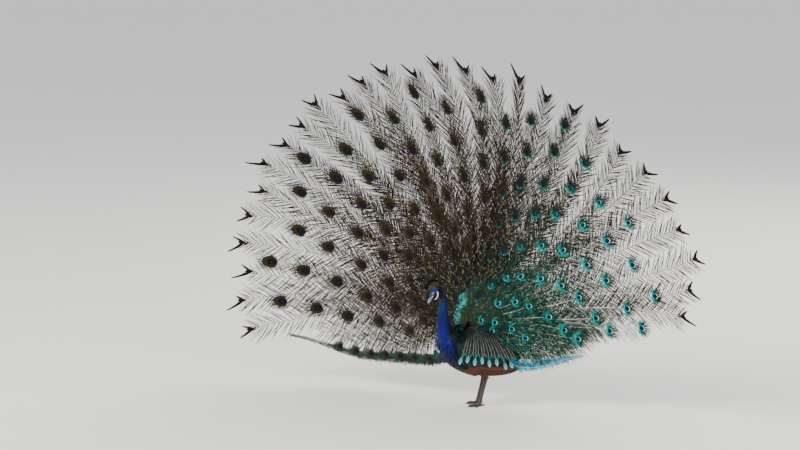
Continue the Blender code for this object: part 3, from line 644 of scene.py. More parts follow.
def spread_roots(
    surface: Surface, spacing: Callable[[Array], Array], keep: Callable[[Array], Array], seed: int
) -> tuple[Array, Array]:
    """Places feather roots evenly over part of a surface.

    Args:
        surface: its points, normals and triangles.
        spacing: distance between neighbours at given points.
        keep: true at points that carry feathers.
        seed: start of the random draw.

    Returns:
        The roots and the surface normals there.
    """
    points, normals, faces = surface
    corners = points[faces]
    middle = corners.mean(axis=1)
    first, second = corners[:, 1] - corners[:, 0], corners[:, 2] - corners[:, 0]
    area = np.linalg.norm(np.cross(first, second), axis=1) / 2
    gap = spacing(middle)
    weight = np.where(keep(middle), area / gap**2, 0.0)
    draw = np.random.default_rng(seed)
    tries = int(weight.sum() * 5) + 50
    chosen = draw.choice(len(faces), tries, p=weight / weight.sum())
    mixes = draw.dirichlet((1, 1, 1), tries)[:, :, None]
    places = (corners[chosen] * mixes).sum(axis=1)
    facing = unit((normals[faces[chosen]] * mixes).sum(axis=1))
    room = spacing(places)
    cell = float(room.max())
    cells: dict[tuple[int, int, int], list[int]] = {}
    kept = []
    keys = np.floor(places / cell).astype(int)
    near = [(x, y, z) for x in (-1, 0, 1) for y in (-1, 0, 1) for z in (-1, 0, 1)]
    for index, (x, y, z) in enumerate(keys.tolist()):
        place, limit = places[index], room[index] ** 2
        others = [k for dx, dy, dz in near for k in cells.get((x + dx, y + dy, z + dz), ())]
        if others and ((places[others] - place) ** 2).sum(axis=1).min() < limit:
            continue
        kept.append(index)
        cells.setdefault((x, y, z), []).append(index)
    return places[kept], facing[kept]


@dataclass(frozen=True)
class Fold:
    """How the body's skin is laid flat, so that each feather keeps its place on it."""

    stance: Stance

    def patch(self, points: Array) -> Array:
        """Places of world points on the flat skin: torso below, neck above it, head on top."""
        ahead, left, high = self.stance.own(points).T
        fore, aside, above = self.stance.head_own(points).T
        torso = np.stack([np.arctan2(left, high - 0.30) / 6.4 + 0.5, 0.02 + (ahead + 0.25) * 0.85], -1)
        neck = np.stack([np.arctan2(left, ahead - 0.235) / 6.4 + 0.5, 0.50 + (high - 0.36) * 0.95], -1)
        head = np.stack([np.arctan2(aside, above + 0.003) / 6.4 + 0.5, 0.84 + (fore + 0.04) * 1.8], -1)
        on_head = self.head_amount(points) > 0.5
        on_neck = (high > 0.40) & (ahead > 0.12)
        return np.where(on_head[:, None], head, np.where(on_neck[:, None], neck, torso))

    def head_amount(self, points: Array) -> Array:
        """One on the head, zero on the neck and smooth between."""
        fore, aside, above = self.stance.head_own(points).T
        away = ((fore + 0.002) / 0.035) ** 2 + (aside / 0.0185) ** 2 + ((above + 0.003) / 0.029) ** 2
        return 1 - ease(np.sqrt(away), 1.12, 1.45)

    def thigh_amount(self, points: Array) -> Array:
        """One on the thighs, zero on the torso."""
        ahead, _, high = self.stance.own(points).T
        return ease(-high, -0.200, -0.180) * ease(0.13 - np.abs(ahead), 0.0, 0.02)

    def neck_amount(self, points: Array) -> Array:
        """One high on the neck and zero low on the breast."""
        ahead, _, high = self.stance.own(points).T
        return ease(high, 0.36, 0.50) * ease(ahead, 0.10, 0.16)


@dataclass(frozen=True)
class BodyFinish(Finish):
    """Cobalt neck and breast, blue-black flanks, and the markings of the face."""

    stance: Stance
    name: str
    feathered: bool
    cobalt: Colour = rgb(2, 10, 88)
    bright: Colour = rgb(2, 19, 122)
    teal: Colour = rgb(4, 48, 92)
    dark_teal: Colour = rgb(3, 24, 44)
    indigo: Colour = rgb(3, 6, 34)
    mantle: Colour = rgb(3, 20, 18)
    night: Colour = rgb(5, 10, 24)
    crown: Colour = rgb(12, 46, 128)
    brow: Colour = rgb(17, 78, 112)
    violet: Colour = rgb(48, 26, 150)
    black: Colour = rgb(6, 7, 12)
    white: Colour = rgb(232, 230, 224)
    buff: Colour = rgb(96, 66, 42)

    def lay(self, s: Sheet) -> None:
        """Mixes the colours."""
        st = self.stance
        high, ahead = s.along_axis(UP, st.feet), s.along_axis(st.heading, st.feet)
        cloud = s.noise(34.0)
        tall = high + (cloud - 0.5) * 0.03
        column = s.ramp(
            (tall - 0.15) / 0.52,
            [(0.02, self.night), (0.16, self.indigo), (0.36, self.cobalt), (0.52, self.bright)]
            + [(0.66, self.cobalt), (0.80, self.teal), (0.92, self.dark_teal)],
        )
        front = (ahead + (cloud - 0.5) * 0.04 - (high - 0.30).size() * 0.28).above(0.085, 0.165)
        neck = high.above(0.40, 0.47) * ahead.above(0.12, 0.17)
        lit = front.most(neck)
        flank = s.mix(high.above(0.19, 0.30), self.night, self.indigo)
        colour = s.mix(lit, flank, column)
        behind = (ahead - 0.232).above(0.004, -0.028) * neck
        colour = s.mix(behind * 0.75, colour, self.indigo)
        shoulder = (ahead - 0.188 - (high - 0.29) * 0.32 + (cloud - 0.5) * 0.02).above(0.012, -0.014)
        colour = s.mix(shoulder * high.above(0.475, 0.43), colour, self.mantle)
        thigh = high.above(0.215, 0.195) * ahead.above(0.13, 0.10)
        colour = s.mix(thigh, colour, self.buff)
        colour = self._face(s, colour)
        if self.feathered:
            _, along = s.vane()
            shade = s.shade()
            colour = s.mix((1 - along.above(0.0, 0.42)) * 0.55, colour, self.black)
            colour = s.mix(shade * 0.30, colour, self.night)
            s.surface(colour, roughness=0.48 - shade * 0.10, metallic=0.10, Specular_IOR_Level=0.22)
        else:
            grain = s.noise(900.0, 2.0)
            s.surface(colour, roughness=0.62, bump=grain, depth=0.0003, Specular_IOR_Level=0.35)

    def _face(self, s: Sheet, under: Wire) -> Wire:
        """Lays the face's markings over the neck's colour."""
        fore, side, above = s.in_head(self.stance)
        away = ((fore + 0.002) / 0.035) ** 2 + (side.size() / 0.0185) ** 2
        away = away + ((above + 0.003).size() / 0.029) ** 2
        on_head = (away - fore.above(0.004, -0.016) * 1.1).above(1.95, 1.45)
        wander = (s.noise(260.0) - 0.5) * 0.004
        cap = (above + wander + fore * 0.10).above(0.004, 0.0085)
        rear = (fore + wander).above(-0.010, -0.022)
        brow = (fore + above * 0.2).above(0.004, 0.018)
        crown = s.mix(brow, s.mix(rear, self.crown, self.violet), self.brow)
        face = s.mix(cap, self.black, crown)
        side_teal = (above + fore * 0.3).above(-0.030, -0.042) * rear
        face = s.mix(side_teal, face, self.dark_teal)
        face = s.mix(self.bare(fore, above, side), face, self.white)
        return s.mix(on_head, under, face)

    @staticmethod
    def bare(fore: Wire, above: Wire, side: Wire) -> Wire:
        """Mask of the bare white skin: the crescent below the eye and the stripe before it."""
        ring = ((fore - 0.017) ** 2 + (above - 0.014) ** 2) ** 0.5
        crescent = (ring - 0.0355).size().above(0.0040, 0.0030) * fore.above(-0.0215, -0.0185)
        crescent = crescent * fore.above(0.0245, 0.0215) * above.above(0.004, 0.001)
        stripe = (above - 0.0062 + fore * 0.27).size().above(0.0019, 0.0012) * fore.above(0.0125, 0.0145)
        brow = (above - 0.0128 + (fore - 0.006).size() * 0.32).size().above(0.0011, 0.0006)
        brow = brow * (fore - 0.006).size().above(0.0085, 0.0065)
        return crescent.most(stripe).most(brow) * side.size().above(0.005, 0.008)


@dataclass(frozen=True)
class Markings:
    """Where the face is bare, told in the head's own terms."""

    middle: Pair = (0.017, 0.014)
    sweep: float = 0.0355
    half: float = 0.0034

    def bare(self, fore: Array, aside: Array, above: Array) -> Array:
        """True where no feather grows."""
        ring = np.hypot(fore - self.middle[0], above - self.middle[1])
        crescent = (np.abs(ring - self.sweep) < self.half) & (above < 0.002)
        crescent = crescent & (fore > -0.0195) & (fore < 0.0225)
        stripe = (np.abs(above - 0.0062 + fore * 0.27) < 0.0015) & (fore > 0.0135)
        reach = np.abs(fore - 0.006)
        brow = (np.abs(above - 0.0128 + reach * 0.32) < 0.0009) & (reach < 0.007)
        eye = np.hypot((fore - 0.0085) / 1.1, above - 0.004) < 0.0066
        return (crescent | stripe | brow | eye) & (np.abs(aside) > 0.006)


@dataclass
class BodySkin:
    """One skin over torso, neck, head and thighs, lying a coat's depth inside the solids."""

    stance: Stance
    nodes: tuple[str, ...] = ("torso", "neck", "head", "thigh_left", "thigh_right")
    voxel: float = 0.0024
    meet: float = 0.0005
    sink: float = 0.0060
    neck_share: float = 0.50
    head_share: float = 0.17
    smoothing: int = 8

    def build(self) -> Thing:
        """Makes the skin.

        Returns:
            The finished piece.
        """
        skin = copy_of_nodes("body_skin", self.nodes)
        apply_modifier(skin, "DISPLACE", strength=self.meet, mid_level=0.0)
        apply_modifier(skin, "REMESH", mode="VOXEL", voxel_size=self.voxel)
        apply_modifier(skin, "SMOOTH", factor=0.5, iterations=self.smoothing)
        self._sink(skin)
        self._lay_flat(skin)
        bpy.ops.object.shade_smooth()
        dress(skin, BodyFinish(self.stance, "body_skin", False), self.nodes)
        return skin

    def _sink(self, skin: Thing) -> None:
        """Draws the skin inwards by the depth of the feathers that it carries."""
        points, _, _ = corner_normals(skin.data)
        fold = Fold(self.stance)
        share = 1 - (1 - self.neck_share) * fold.neck_amount(points)
        head = fold.head_amount(points)
        share = share * (1 - head) + self.head_share * head
        group = skin.vertex_groups.new(name="coat")
        for index, weight in enumerate(share.tolist()):
            group.add((index,), weight, "REPLACE")
        depth = -self.sink - self.meet
        apply_modifier(skin, "DISPLACE", strength=depth, mid_level=0.0, vertex_group="coat")
        skin.vertex_groups.clear()

    def _lay_flat(self, skin: Thing) -> None:
        """Gives the skin its flat map."""
        points, _, _ = corner_normals(skin.data)
        patch = Fold(self.stance).patch(points)
        layer = skin.data.uv_layers.new(name=BAKE_MAP)
        corners = np.empty(len(skin.data.loops), np.int32)
        skin.data.loops.foreach_get("vertex_index", corners)
        layer.data.foreach_set("uv", patch[corners].astype(np.float32).ravel())


@dataclass
class BodyCoat:
    """Every small feather of head, neck, breast, belly, back and thighs."""

    stance: Stance
    skin: Thing
    gap: Triple = (0.0098, 0.0052, 0.0025)
    long: Triple = (0.030, 0.0145, 0.0062)
    half: Triple = (0.0070, 0.0036, 0.0017)
    lift: Triple = (0.0030, 0.0018, 0.0008)
    widths: tuple[float, ...] = (0.40, 0.85, 1.0, 0.80, 0.0)
    seed: int = 11

    def _share(self, points: Array, sizes: Triple) -> Array:
        """A size that changes smoothly from torso to neck to head."""
        torso, neck, head = sizes
        fold = Fold(self.stance)
        low = torso + (neck - torso) * fold.neck_amount(points)
        on_head = fold.head_amount(points)
        return low * (1 - on_head) + head * on_head

    def _flow(self, points: Array, normals: Array) -> Array:
        """The way the feathers lie at each root, along the skin."""
        st = self.stance
        fold = Fold(st)
        ahead, _, high = st.own(points).T
        down = np.array([0.0, 0.0, -1.0])
        breast = ease(ahead, 0.08, 0.24)[:, None]
        torso = -st.heading * (1 - 0.55 * breast) + down * (0.25 + 0.9 * breast)
        neck = np.broadcast_to(down - st.heading * 0.12, points.shape)
        slant = ease(high, 0.33, 0.47)[:, None] * ease(ahead, 0.10, 0.16)[:, None]
        flow = torso * (1 - slant) + neck * slant
        thigh = fold.thigh_amount(points)[:, None]
        flow = flow * (1 - thigh) + (down - 0.25 * st.heading) * thigh
        fore = st.head_own(points)[:, 0]
        forward, _, top = st.head_axes
        nape = ease(-fore, 0.004, 0.030)[:, None]
        head = -forward * (1 - 0.5 * nape) - top * (0.16 + 1.1 * nape)
        on_head = fold.head_amount(points)[:, None]
        flow = flow * (1 - on_head) + head * on_head
        return combed(flow, normals)

    def build(self) -> None:
        """Grows the coat."""
        surface = corner_normals(self.skin.data)
        marks = Markings()

        def keep(points: Array) -> Array:
            """True where feathers grow."""
            fore, aside, above = self.stance.head_own(points).T
            return ~(marks.bare(fore, aside, above) & (Fold(self.stance).head_amount(points) > 0.6))

        def spacing(points: Array) -> Array:
            """Distance between neighbouring roots."""
            return self._share(points, self.gap)

        roots, normals = spread_roots(surface, spacing, keep, self.seed)
        clear = keep(roots)
        roots, normals = roots[clear], normals[clear]
        high = self.stance.own(roots)[:, 2]
        finish = BodyFinish(self.stance, "body_feathers", True).make()
        low = high < 0.40
        for name, slot, chosen in (("breast_feathers", Slot.BODY, low), ("neck_feathers", Slot.NECK, ~low)):
            tufts = Tufts(name)
            self._grow(tufts, roots[chosen], normals[chosen])
            tufts.build(finish, slot)

    def _grow(self, tufts: Tufts, roots: Array, normals: Array) -> None:
        """Lays one feather at each root."""
        draw = np.random.default_rng(self.seed + len(roots))
        many = len(roots)
        flow = self._flow(roots, normals)
        aside = np.cross(normals, flow)
        flow = unit(flow + aside * draw.normal(0, 0.10, (many, 1)))
        length = self._share(roots, self.long) * draw.uniform(0.85, 1.15, many)
        half = self._share(roots, self.half) * draw.uniform(0.9, 1.1, many)
        lift = self._share(roots, self.lift) * draw.uniform(0.6, 1.3, many)
        rise = lift[:, None] * np.array([-0.5, 0.45, 0.85, 1.0, 0.95])
        path = leaves(roots, flow, length[:, None] * LEAF, normals, rise)
        width = half[:, None] * np.array(self.widths)
        thick = half[:, None] * 0.10
        patch = Fold(self.stance).patch(roots)
        tufts.sweep(path, width, thick, normals, patch, draw.random(many), sides=4, cup=0.22)


@dataclass(frozen=True)
class BarbFinish(Finish):
    """Loose barbs: dark teal at the root, olive and bronze brown beyond, turquoise round the near eyes. The
    teal over the near half and the turquoise round its eyes are partly painted sheen, the iridescence as it
    looks from that side. Scattered pale barbs are painted highlights.
    """

    bowl: Bowl
    name: str = "train_barbs"
    root: Colour = rgb(2, 36, 34)
    inner: Colour = rgb(14, 28, 12)
    bronze: Colour = rgb(38, 28, 12)
    rim: Colour = rgb(34, 21, 12)
    teal: Colour = rgb(14, 88, 74)
    turquoise: Colour = rgb(8, 150, 136)
    olive: Colour = rgb(44, 38, 12)
    dark: Colour = rgb(6, 9, 6)
    copper: Colour = rgb(84, 46, 22)
    glint_straw: Colour = rgb(142, 134, 104)
    pale: Colour = rgb(132, 168, 146)

    def lay(self, s: Sheet) -> None:
        """Mixes the colours."""
        radius, turn = s.in_fan(self.bowl)
        cloud = s.noise(9.0)
        reach = radius + (cloud - 0.5) * 0.20
        stops = [(0.07, self.root), (0.20, self.inner), (0.36, self.bronze), (0.70, self.bronze)]
        base = s.ramp(reach / 1.6, stops + [(0.92, self.rim)])
        # Painted sheen: the near half is tinted teal, as its iridescent barbs look from this side.
        near = turn.above(6.0, 70.0) * reach.above(1.05, 0.30)
        colour = s.mix(near * 0.80, base, self.teal)
        fleck = s.noise(78.0, 2.0)
        _, along = s.vane()
        shade = s.shade()
        colour = s.mix(shade.above(0.40, 0.95) * 0.65, colour, self.dark)
        colour = s.mix(fleck.above(0.48, 0.36) * 0.60, colour, self.dark)
        colour = s.mix(shade.above(0.30, 0.14) * (1 - near * 0.7) * 0.50, colour, self.copper)
        # Painted highlights: scattered barbs turned pale, straw on the far half and pale teal on the near
        # half, as barbs that catch the light.
        glints = fleck.above(0.50, 0.58) * shade.above(0.34, 0.24)
        colour = s.mix(glints * 0.75, colour, s.mix(near, self.glint_straw, self.pale))
        halo = shade.above(HALO - 0.3, HALO - 0.1)
        # Painted sheen: the fringe round an eye is turquoise on the lit near half and olive elsewhere.
        lit = turn.above(16.0, 60.0)
        colour = s.mix(halo, colour, s.mix(lit, self.olive, self.turquoise))
        colour = s.mix(halo * along.above(0.35, 0.95) * 0.75, colour, base)
        s.surface(colour, roughness=0.70, Specular_IOR_Level=0.15)


@dataclass(frozen=True)
class ShaftFinish(Finish):
    """Quill shafts: ivory low on the near half, reddish brown above, grey brown on the far half."""

    bowl: Bowl
    name: str = "train_shafts"
    ivory: Colour = rgb(236, 208, 190)
    red: Colour = rgb(72, 36, 24)
    grey: Colour = rgb(62, 46, 34)

    def lay(self, s: Sheet) -> None:
        """Mixes the colours."""
        radius, turn = s.in_fan(self.bowl)
        stops = [(0.42, self.grey), (0.56, self.red), (0.70, self.red), (0.80, self.ivory)]
        colour = s.ramp((turn + 128) / 256 + (s.noise(6.0) - 0.5) * 0.05, stops)
        colour = s.mix(radius.above(0.75, 1.25) * 0.70, colour, self.red)
        colour = s.mix(s.noise(40.0) * 0.25, colour, self.grey)
        s.surface(colour, roughness=0.36, Specular_IOR_Level=0.5)


@dataclass(frozen=True)
class EyespotFinish(Finish):
    """The train's eye: umber with an ink heart on the far half, turquoise and navy on the near half. That
    change is partly painted sheen, the iridescence as it looks from that side, and a pale painted highlight
    lies beside the near hearts.
    """

    bowl: Bowl
    name: str = "train_eyes"
    bronze: Colour = rgb(46, 31, 8)
    umber: Colour = rgb(33, 22, 7)
    rim: Colour = rgb(26, 16, 6)
    moss: Colour = rgb(4, 34, 26)
    green: Colour = rgb(6, 80, 62)
    ink: Colour = rgb(1, 2, 4)
    deep: Colour = rgb(3, 18, 70)
    navy: Colour = rgb(5, 8, 66)
    turquoise: Colour = rgb(6, 158, 160)
    pale: Colour = rgb(182, 232, 230)
    back: Colour = rgb(70, 56, 42)

    def lay(self, s: Sheet) -> None:
        """Mixes the colours."""
        radius, turn = s.in_fan(self.bowl)
        # Painted sheen: lit and near mark where the eye takes its turquoise, green and navy, as its
        # iridescence looks from this side.
        lit = turn.above(-4.0, 34.0)
        near = (turn - radius * 16.0).above(16.0, 50.0)
        across, along = s.vane()
        x = (across - 0.5) * 2
        y = (along - 0.5) * 2
        wobble = (s.noise(70.0) - 0.5) * 0.10
        whole = (x * x + y * y) ** 0.5 + wobble
        tall = (y + 0.24 - near * 0.32) * (1 - near * 0.22)
        heart = ((x * 1.12) ** 2 + tall**2) ** 0.5 + wobble * 0.5
        brown = s.mix(s.shade().above(0.2, 0.9), self.bronze, self.umber)
        outer = s.mix(near, s.mix(lit, brown, self.moss), self.green)
        root_side = (y + wobble).above(-0.12 * near - 0.35 * (1 - near), -0.75)
        colour = s.mix(root_side * lit.most(0.05), outer, self.turquoise)
        colour = s.mix(whole.above(0.86, 1.0) * (1 - near * 0.6), colour, self.rim)
        ring = s.mix(near, self.ink, self.turquoise)
        colour = s.mix(heart.above(0.66, 0.58), colour, ring)
        aim = turn * (math.pi / 180)
        outward = x * (aim + math.pi / 2).sine() + y * aim.sine()
        colour = s.mix((heart - near * 0.34).above(0.21, 0.15), colour, s.mix(lit, self.deep, self.navy))
        # Painted highlight: a pale crescent beside the heart, on the near half only.
        painted_glint = near * (heart - 0.54).size().above(0.10, 0.05) * outward.above(0.22, 0.38)
        colour = s.mix(painted_glint * 0.9, colour, self.pale)
        lines = (along * 150.0 + x.size() * 40.0).sine()
        colour = s.mix(lines.above(0.1, 0.9) * 0.22, colour, self.ink)
        colour = s.mix(along.above(1.4, 1.6), colour, self.back)
        s.surface(colour, roughness=0.55, bump=lines, depth=0.0004, Specular_IOR_Level=0.12)


@dataclass(frozen=True)
class VaneFinish(Finish):
    """A feather with a closed vane: one colour along it, another at its edge, and fine barb lines."""

    name: str
    base: Colour
    tip: Colour
    edge: Colour
    lines: float = 300.0
    rough: float = 0.5
    metal: float = 0.0
    edge_strength: float = 0.5
    tip_start: float = 0.55
    gloss: float = 0.5

    def lay(self, s: Sheet) -> None:
        """Mixes the colours."""
        across, along = s.vane()
        shade = s.shade()
        x = ((across - 0.5) * 2).size()
        cloud = s.noise(60.0)
        colour = s.mix((along + (cloud - 0.5) * 0.3).above(self.tip_start, 1.0), self.base, self.tip)
        colour = s.mix(x.above(0.35, 1.0) * self.edge_strength, colour, self.edge)
        dark = tuple(0.35 * part for part in self.base)
        colour = s.mix(shade * 0.45, colour, dark)
        strokes = (along * self.lines + x * (self.lines * 0.25)).sine()
        colour = s.mix(strokes.above(-0.2, 0.9) * 0.16, colour, dark)
        rough, metal, gloss = self.rough, self.metal, self.gloss
        s.surface(colour, rough, metal, bump=strokes, depth=0.0003, Specular_IOR_Level=gloss)


class Kind(Enum):
    """How a train feather ends."""

    EYED = "eyed"
    FORKED = "forked"
    SWORD = "sword"


@dataclass(frozen=True)
class Plume:
    """One long train feather: where it points, where it ends and how it bows on the way."""

    kind: Kind
    turn: float
    end: float
    tier: float
    size: float = 1.0
    bow: float = 0.0
    root: float = 0.045
    rise: float = 0.0
    hem: bool = False

    def turn_at(self, radius: Array) -> Array:
        """Turn from upright at a radius."""
        if self.hem:
            return self._hem_turn(radius)
        part = np.clip((radius - self.root) / (self.end - self.root), 0, 1)
        return self.turn + self.bow * np.sin(math.pi * part)

    def _hem_turn(self, radius: Array) -> Array:
        """Turn along the fan's lower hem, which drops from the root and then runs out level."""
        far = self.turn < 0
        side = np.linspace(0.02, 1.36, 120)
        if far:
            up = -0.325 * (1 - np.exp(-((side / 0.14) ** 1.3))) + 0.125 * ease(side, 0.75, 1.30)
        else:
            up = -0.285 * (1 - np.exp(-((side / 0.09) ** 1.3))) + 0.105 * ease(side, 0.22, 0.66)
        up = up * (1 - self.rise)
        turn = np.arctan2(side, up)
        return np.interp(radius, np.hypot(side, up), -turn if far else turn)

    def place(self, bowl: Bowl, base: object, along: object, out: object, level: object) -> Array:
        """Points beside the shaft.

        Args:
            bowl: the surface that the feather lies on.
            base: radius of the place on the shaft.
            along: distance from there towards the tip.
            out: distance to the right of the shaft.
            level: height before the bowl.

        Returns:
            The points.
        """
        step = 0.004
        base = np.asarray(base, float)
        lean = np.arctan(base * (self.turn_at(base + step) - self.turn_at(base - step)) / (2 * step))
        radius = base + along * np.cos(lean) - out * np.sin(lean)
        return bowl.point(radius, self.turn_at(base), level, along * np.sin(lean) + out * np.cos(lean))

    def shape(self) -> Pair:
        """How wide and how long the eye is: round on the far side, an upright drop elsewhere."""
        slim = float(ease_turn(self.turn, -42, -6))
        near = float(ease_turn(self.turn, 4, 36))
        level = math.sin(self.turn) ** 2
        return 1 - 0.34 * slim + 0.48 * near * level, 1 + 0.10 * slim * (1 - level) - 0.30 * near * level

    def lift(self) -> float:
        """How far an inner feather of the near side stands before its tier, clear of the net."""
        inner = self.turn > 0.25 and self.end < 0.50 and not self.hem
        return (0.012 + 0.012 * max(0.0, 1 - self.end / 0.24)) * (inner and self.kind is Kind.EYED)

    def start(self) -> float:
        """Radius where the barbs begin, further out on the feathers that lie behind."""
        return min(0.10 + 0.012 * max(0.0, self.tier), 0.45 * self.end)


@dataclass
class Train:
    """The fan of long feathers: shafts, loose barbs, eyes, forked tips and swords."""

    bowl: Bowl
    reach_top: float = 1.393
    reach_side: float = 1.473
    edge: float = math.radians(104)
    columns: range = field(default_factory=lambda: range(-9, 11))
    rows: int = 6
    forks: int = 28
    fork_spread: Pair = (math.radians(-97), math.radians(85))
    barb_gap: float = 0.0094
    barb_half: float = 0.0019
    barb_thick: float = 0.00035
    barb_long: float = 0.128
    barb_angle: Pair = (math.radians(46), math.radians(27))
    near_top: float = 1.13
    far_edge: float = math.radians(107)
    near_small: tuple[Pair, ...] = ((0.110, 138), (0.072, 80), (0.130, 112))
    shaft: float = 0.0021
    eye_half: float = 0.031
    eye_long: float = 0.037
    eye_patch: float = 0.022
    halo_barbs: int = 46
    web_plumes: int = 190
    web_spread: Pair = (-math.radians(112), math.radians(126))
    most_triangles: int = 180000
    seed: int = 5

    def reach(self, turn: float) -> float:
        """Radius where the forked feathers fork, shorter again at the near lower edge."""
        drop = 0.22 * float(ease_turn(turn, 66, 88))
        return self.reach_top + (self.reach_side - self.reach_top) * math.sin(turn) ** 2 - drop

    @staticmethod
    def eye_place(column: int, row: int) -> Pair:
        """Radius and turn of one eye; the columns spread towards the root, most of all on the near side."""
        far = abs(column)
        radius = 0.385 + 0.0975 * (column % 2) + 0.195 * row
        if column > 0:
            radius -= 0.02 * column
            turn = min(88.0, 6.4 * column + 0.296 * column**2 - 0.2)
            return radius, math.radians(turn * (0.9535 + 0.911 * math.exp(-radius / 0.35)))
        radius += 0.04 * max(0, far - 4)
        turn = -4 - 7.2 * far - 0.9 * far**1.5
        return radius, math.radians(turn * (0.95 + 0.55 * math.exp(-radius / 0.45)))

    def eye_size(self, turn: float, radius: float) -> float:
        """How big an eye is: broad at the far rim, small on the near side and near the root."""
        far = 0.50 + 0.60 * min(1.0, radius / 1.15)
        near = 0.58 + 0.24 * min(1.0, radius / 0.9)
        lit = float(ease_turn(turn, 2, 34))
        return far + (near - far) * lit

    def plumes(self) -> list[Plume]:
        """Every long feather, from one edge of the fan to the other."""
        draw = np.random.default_rng(self.seed)
        found = []
        for column in self.columns:
            least = 0.14 if column > 0 else 0.24
            for row in range(-1, self.rows):
                eye, turn = self.eye_place(column, row)
                most = min(self.reach(turn) - 0.11, self.near_top if turn > math.radians(45) else 2.0)
                tier = 2 * (row + 1) + column % 2
                bow = math.radians(1.4 * (-1) ** row + draw.normal(0, 1.6))
                turn += math.radians(draw.normal(0, 0.5))
                edge = self.edge + math.radians(30 * (eye < 0.32))
                if least < eye < most and -self.far_edge < turn < edge:
                    eye += draw.normal(0, 0.006)
                    found.append(Plume(Kind.EYED, turn, eye, tier, self.eye_size(turn, eye), bow))
        for k in range(self.forks):
            first, last = self.fork_spread
            turn = first + (last - first) * k / (self.forks - 1)
            reach = self.reach(turn) + 0.028 * math.sin(k * 2.3)
            bow = math.radians(draw.normal(0, 2.4))
            found.append(Plume(Kind.FORKED, turn, reach, 14 + k % 2, 1.0, bow))
        for eye, degrees in self.near_small:
            found.append(Plume(Kind.EYED, math.radians(degrees), eye, 0.5, 0.52))
        for k in range(7):
            turn = -math.radians(100.5 + 3.2 * k)
            found.append(Plume(Kind.SWORD, turn, 1.12 - 0.09 * k, 9 + k % 3, 1.0, math.radians(-1.5)))
            found.append(Plume(Kind.EYED, -2.0, 0.46 + 0.085 * k, 1.0, 0.48, rise=0.08, hem=True))
        for k in range(5):
            found.append(Plume(Kind.SWORD, -2.0, 1.28 - 0.20 * k, 2.0 + k, rise=0.03 * k, hem=True))
        for k in range(11):
            turn = math.radians(92 + 3.9 * k)
            found.append(Plume(Kind.SWORD, turn, 0.72 - 0.034 * k, 8 + k % 3, 1.0, math.radians(2.0)))
        for k in range(3):
            found.append(Plume(Kind.SWORD, 2.0, 0.665 - 0.07 * k, 2.0 + k, rise=0.04 * k, hem=True))
        return sorted(found, key=lambda plume: plume.turn)

    def patch(self, turn: Array, radius: Array) -> Array:
        """Places on the flat map of the fan."""
        turn, radius = np.broadcast_arrays(turn, radius)
        return np.stack([0.5 + turn / math.radians(236), radius / 1.62], -1)

    def build(self) -> None:
        """Grows the whole fan."""
        plumes = self.plumes()
        self._shafts(plumes)
        barb_finish = BarbFinish(self.bowl).make()
        draw = np.random.default_rng(self.seed + 1)
        tufts, number = Tufts("train_barbs_1"), 1
        swords = Tufts("train_swords")
        for plume in plumes:
            self._barbs(swords if plume.hem else tufts, plume, draw)
            if sum(len(f) for f in tufts.faces) > self.most_triangles:
                tufts.build(barb_finish, Slot.TRAIN)
                number += 1
                tufts = Tufts(f"train_barbs_{number}")
        self._web(tufts, draw)
        tufts.build(barb_finish, Slot.TRAIN)
        swords.build(SwordFinish(self.bowl), Slot.TRAIN)
        self._eyes([plume for plume in plumes if plume.kind is Kind.EYED], draw)
        self._forks([plume for plume in plumes if plume.kind is Kind.FORKED], draw)

    def _shafts(self, plumes: list[Plume]) -> None:
        """Makes every shaft; together they stand for the train's three solids."""
        tufts = Tufts("train_shafts")
        steps = np.linspace(0, 1, 15)
        for plume in plumes:
            last = plume.end - (0.030 * plume.size if plume.kind is Kind.EYED else 0.006)
            radius = plume.root + (last - plume.root) * steps
            level = self.bowl.tier(plume.tier) + plume.lift() * (plume.end > 0.2)
            path = self.bowl.point(radius, plume.turn_at(radius), level)
            near = (1.0 + 0.35 * (-0.7 < plume.turn)) * (0.45 if plume.hem else 1.0)
            thick = self.shaft * near * (1.15 - 0.75 * steps) * (0.7 + 0.3 * min(1.0, plume.end))
            patch = self.patch(plume.turn, plume.root)
            tufts.sweep(path, thick, thick * 0.8, self.bowl.axes[2], patch, 0.5, sides=6)
        nodes = ("train_left", "train_top", "train_right")
        tufts.build(ShaftFinish(self.bowl), Slot.TRAIN, nodes)

    def _barbs(self, tufts: Tufts, plume: Plume, draw: Draw) -> None:
        """Grows the loose barbs on both sides of one shaft."""
        first = plume.start()
        forked = plume.kind is Kind.FORKED
        last = plume.end - (0.034 if forked else 0.040 * plume.size)
        gap = self.barb_gap * (1.35 if forked else 0.6 if plume.turn > 1.6 else 1.0)
        gap = 0.0030 if plume.hem and plume.kind is Kind.SWORD else gap
        tilt = draw.normal(0, 0.05)
        for side in (-1, 1):
            base = np.arange(first, last, gap)
            base = base + draw.uniform(-0.4, 0.4, len(base)) * gap
            part = (base - first) / (last - first)
            size = min(1.0, 0.35 + 0.9 * plume.end)
            length = self.barb_long * np.minimum(0.30 + 1.5 * part, 1.0) * size
            length = length * (1.12 if forked else 1.0)
            length = length * (1 - 0.38 * ease(part, 0.93 if forked else 0.84, 1.0))
            if plume.hem:
                length = 0.036 * (0.35 + 0.65 * np.sin(math.pi * np.clip(part, 0.1, 0.97)))
            length = length * draw.uniform(0.62, 1.15, len(base))
            angle = self.lean(plume.turn) + 0.12 * (1 - part) + draw.normal(0, 0.075, len(base)) + tilt
            shade = draw.random(len(base))
            if plume.kind is Kind.EYED:
                shade = np.where(base > plume.end - 0.080 * plume.size, HALO + 0.4 * shade, shade)
            self._fringe(tufts, plume, base, side, length, angle, shade, draw)
        if plume.kind is Kind.EYED:
            self._halo(tufts, plume, draw)
        elif forked:
            self._tassel(tufts, plume, draw)

    def lean(self, turn: float) -> float:
        """Angle between barbs and shaft: wide at the sides, narrow at the top of the fan."""
        wide, narrow = self.barb_angle
        top = math.exp(-(((turn - 0.15) / 0.62) ** 2))
        return wide + (narrow - wide) * top

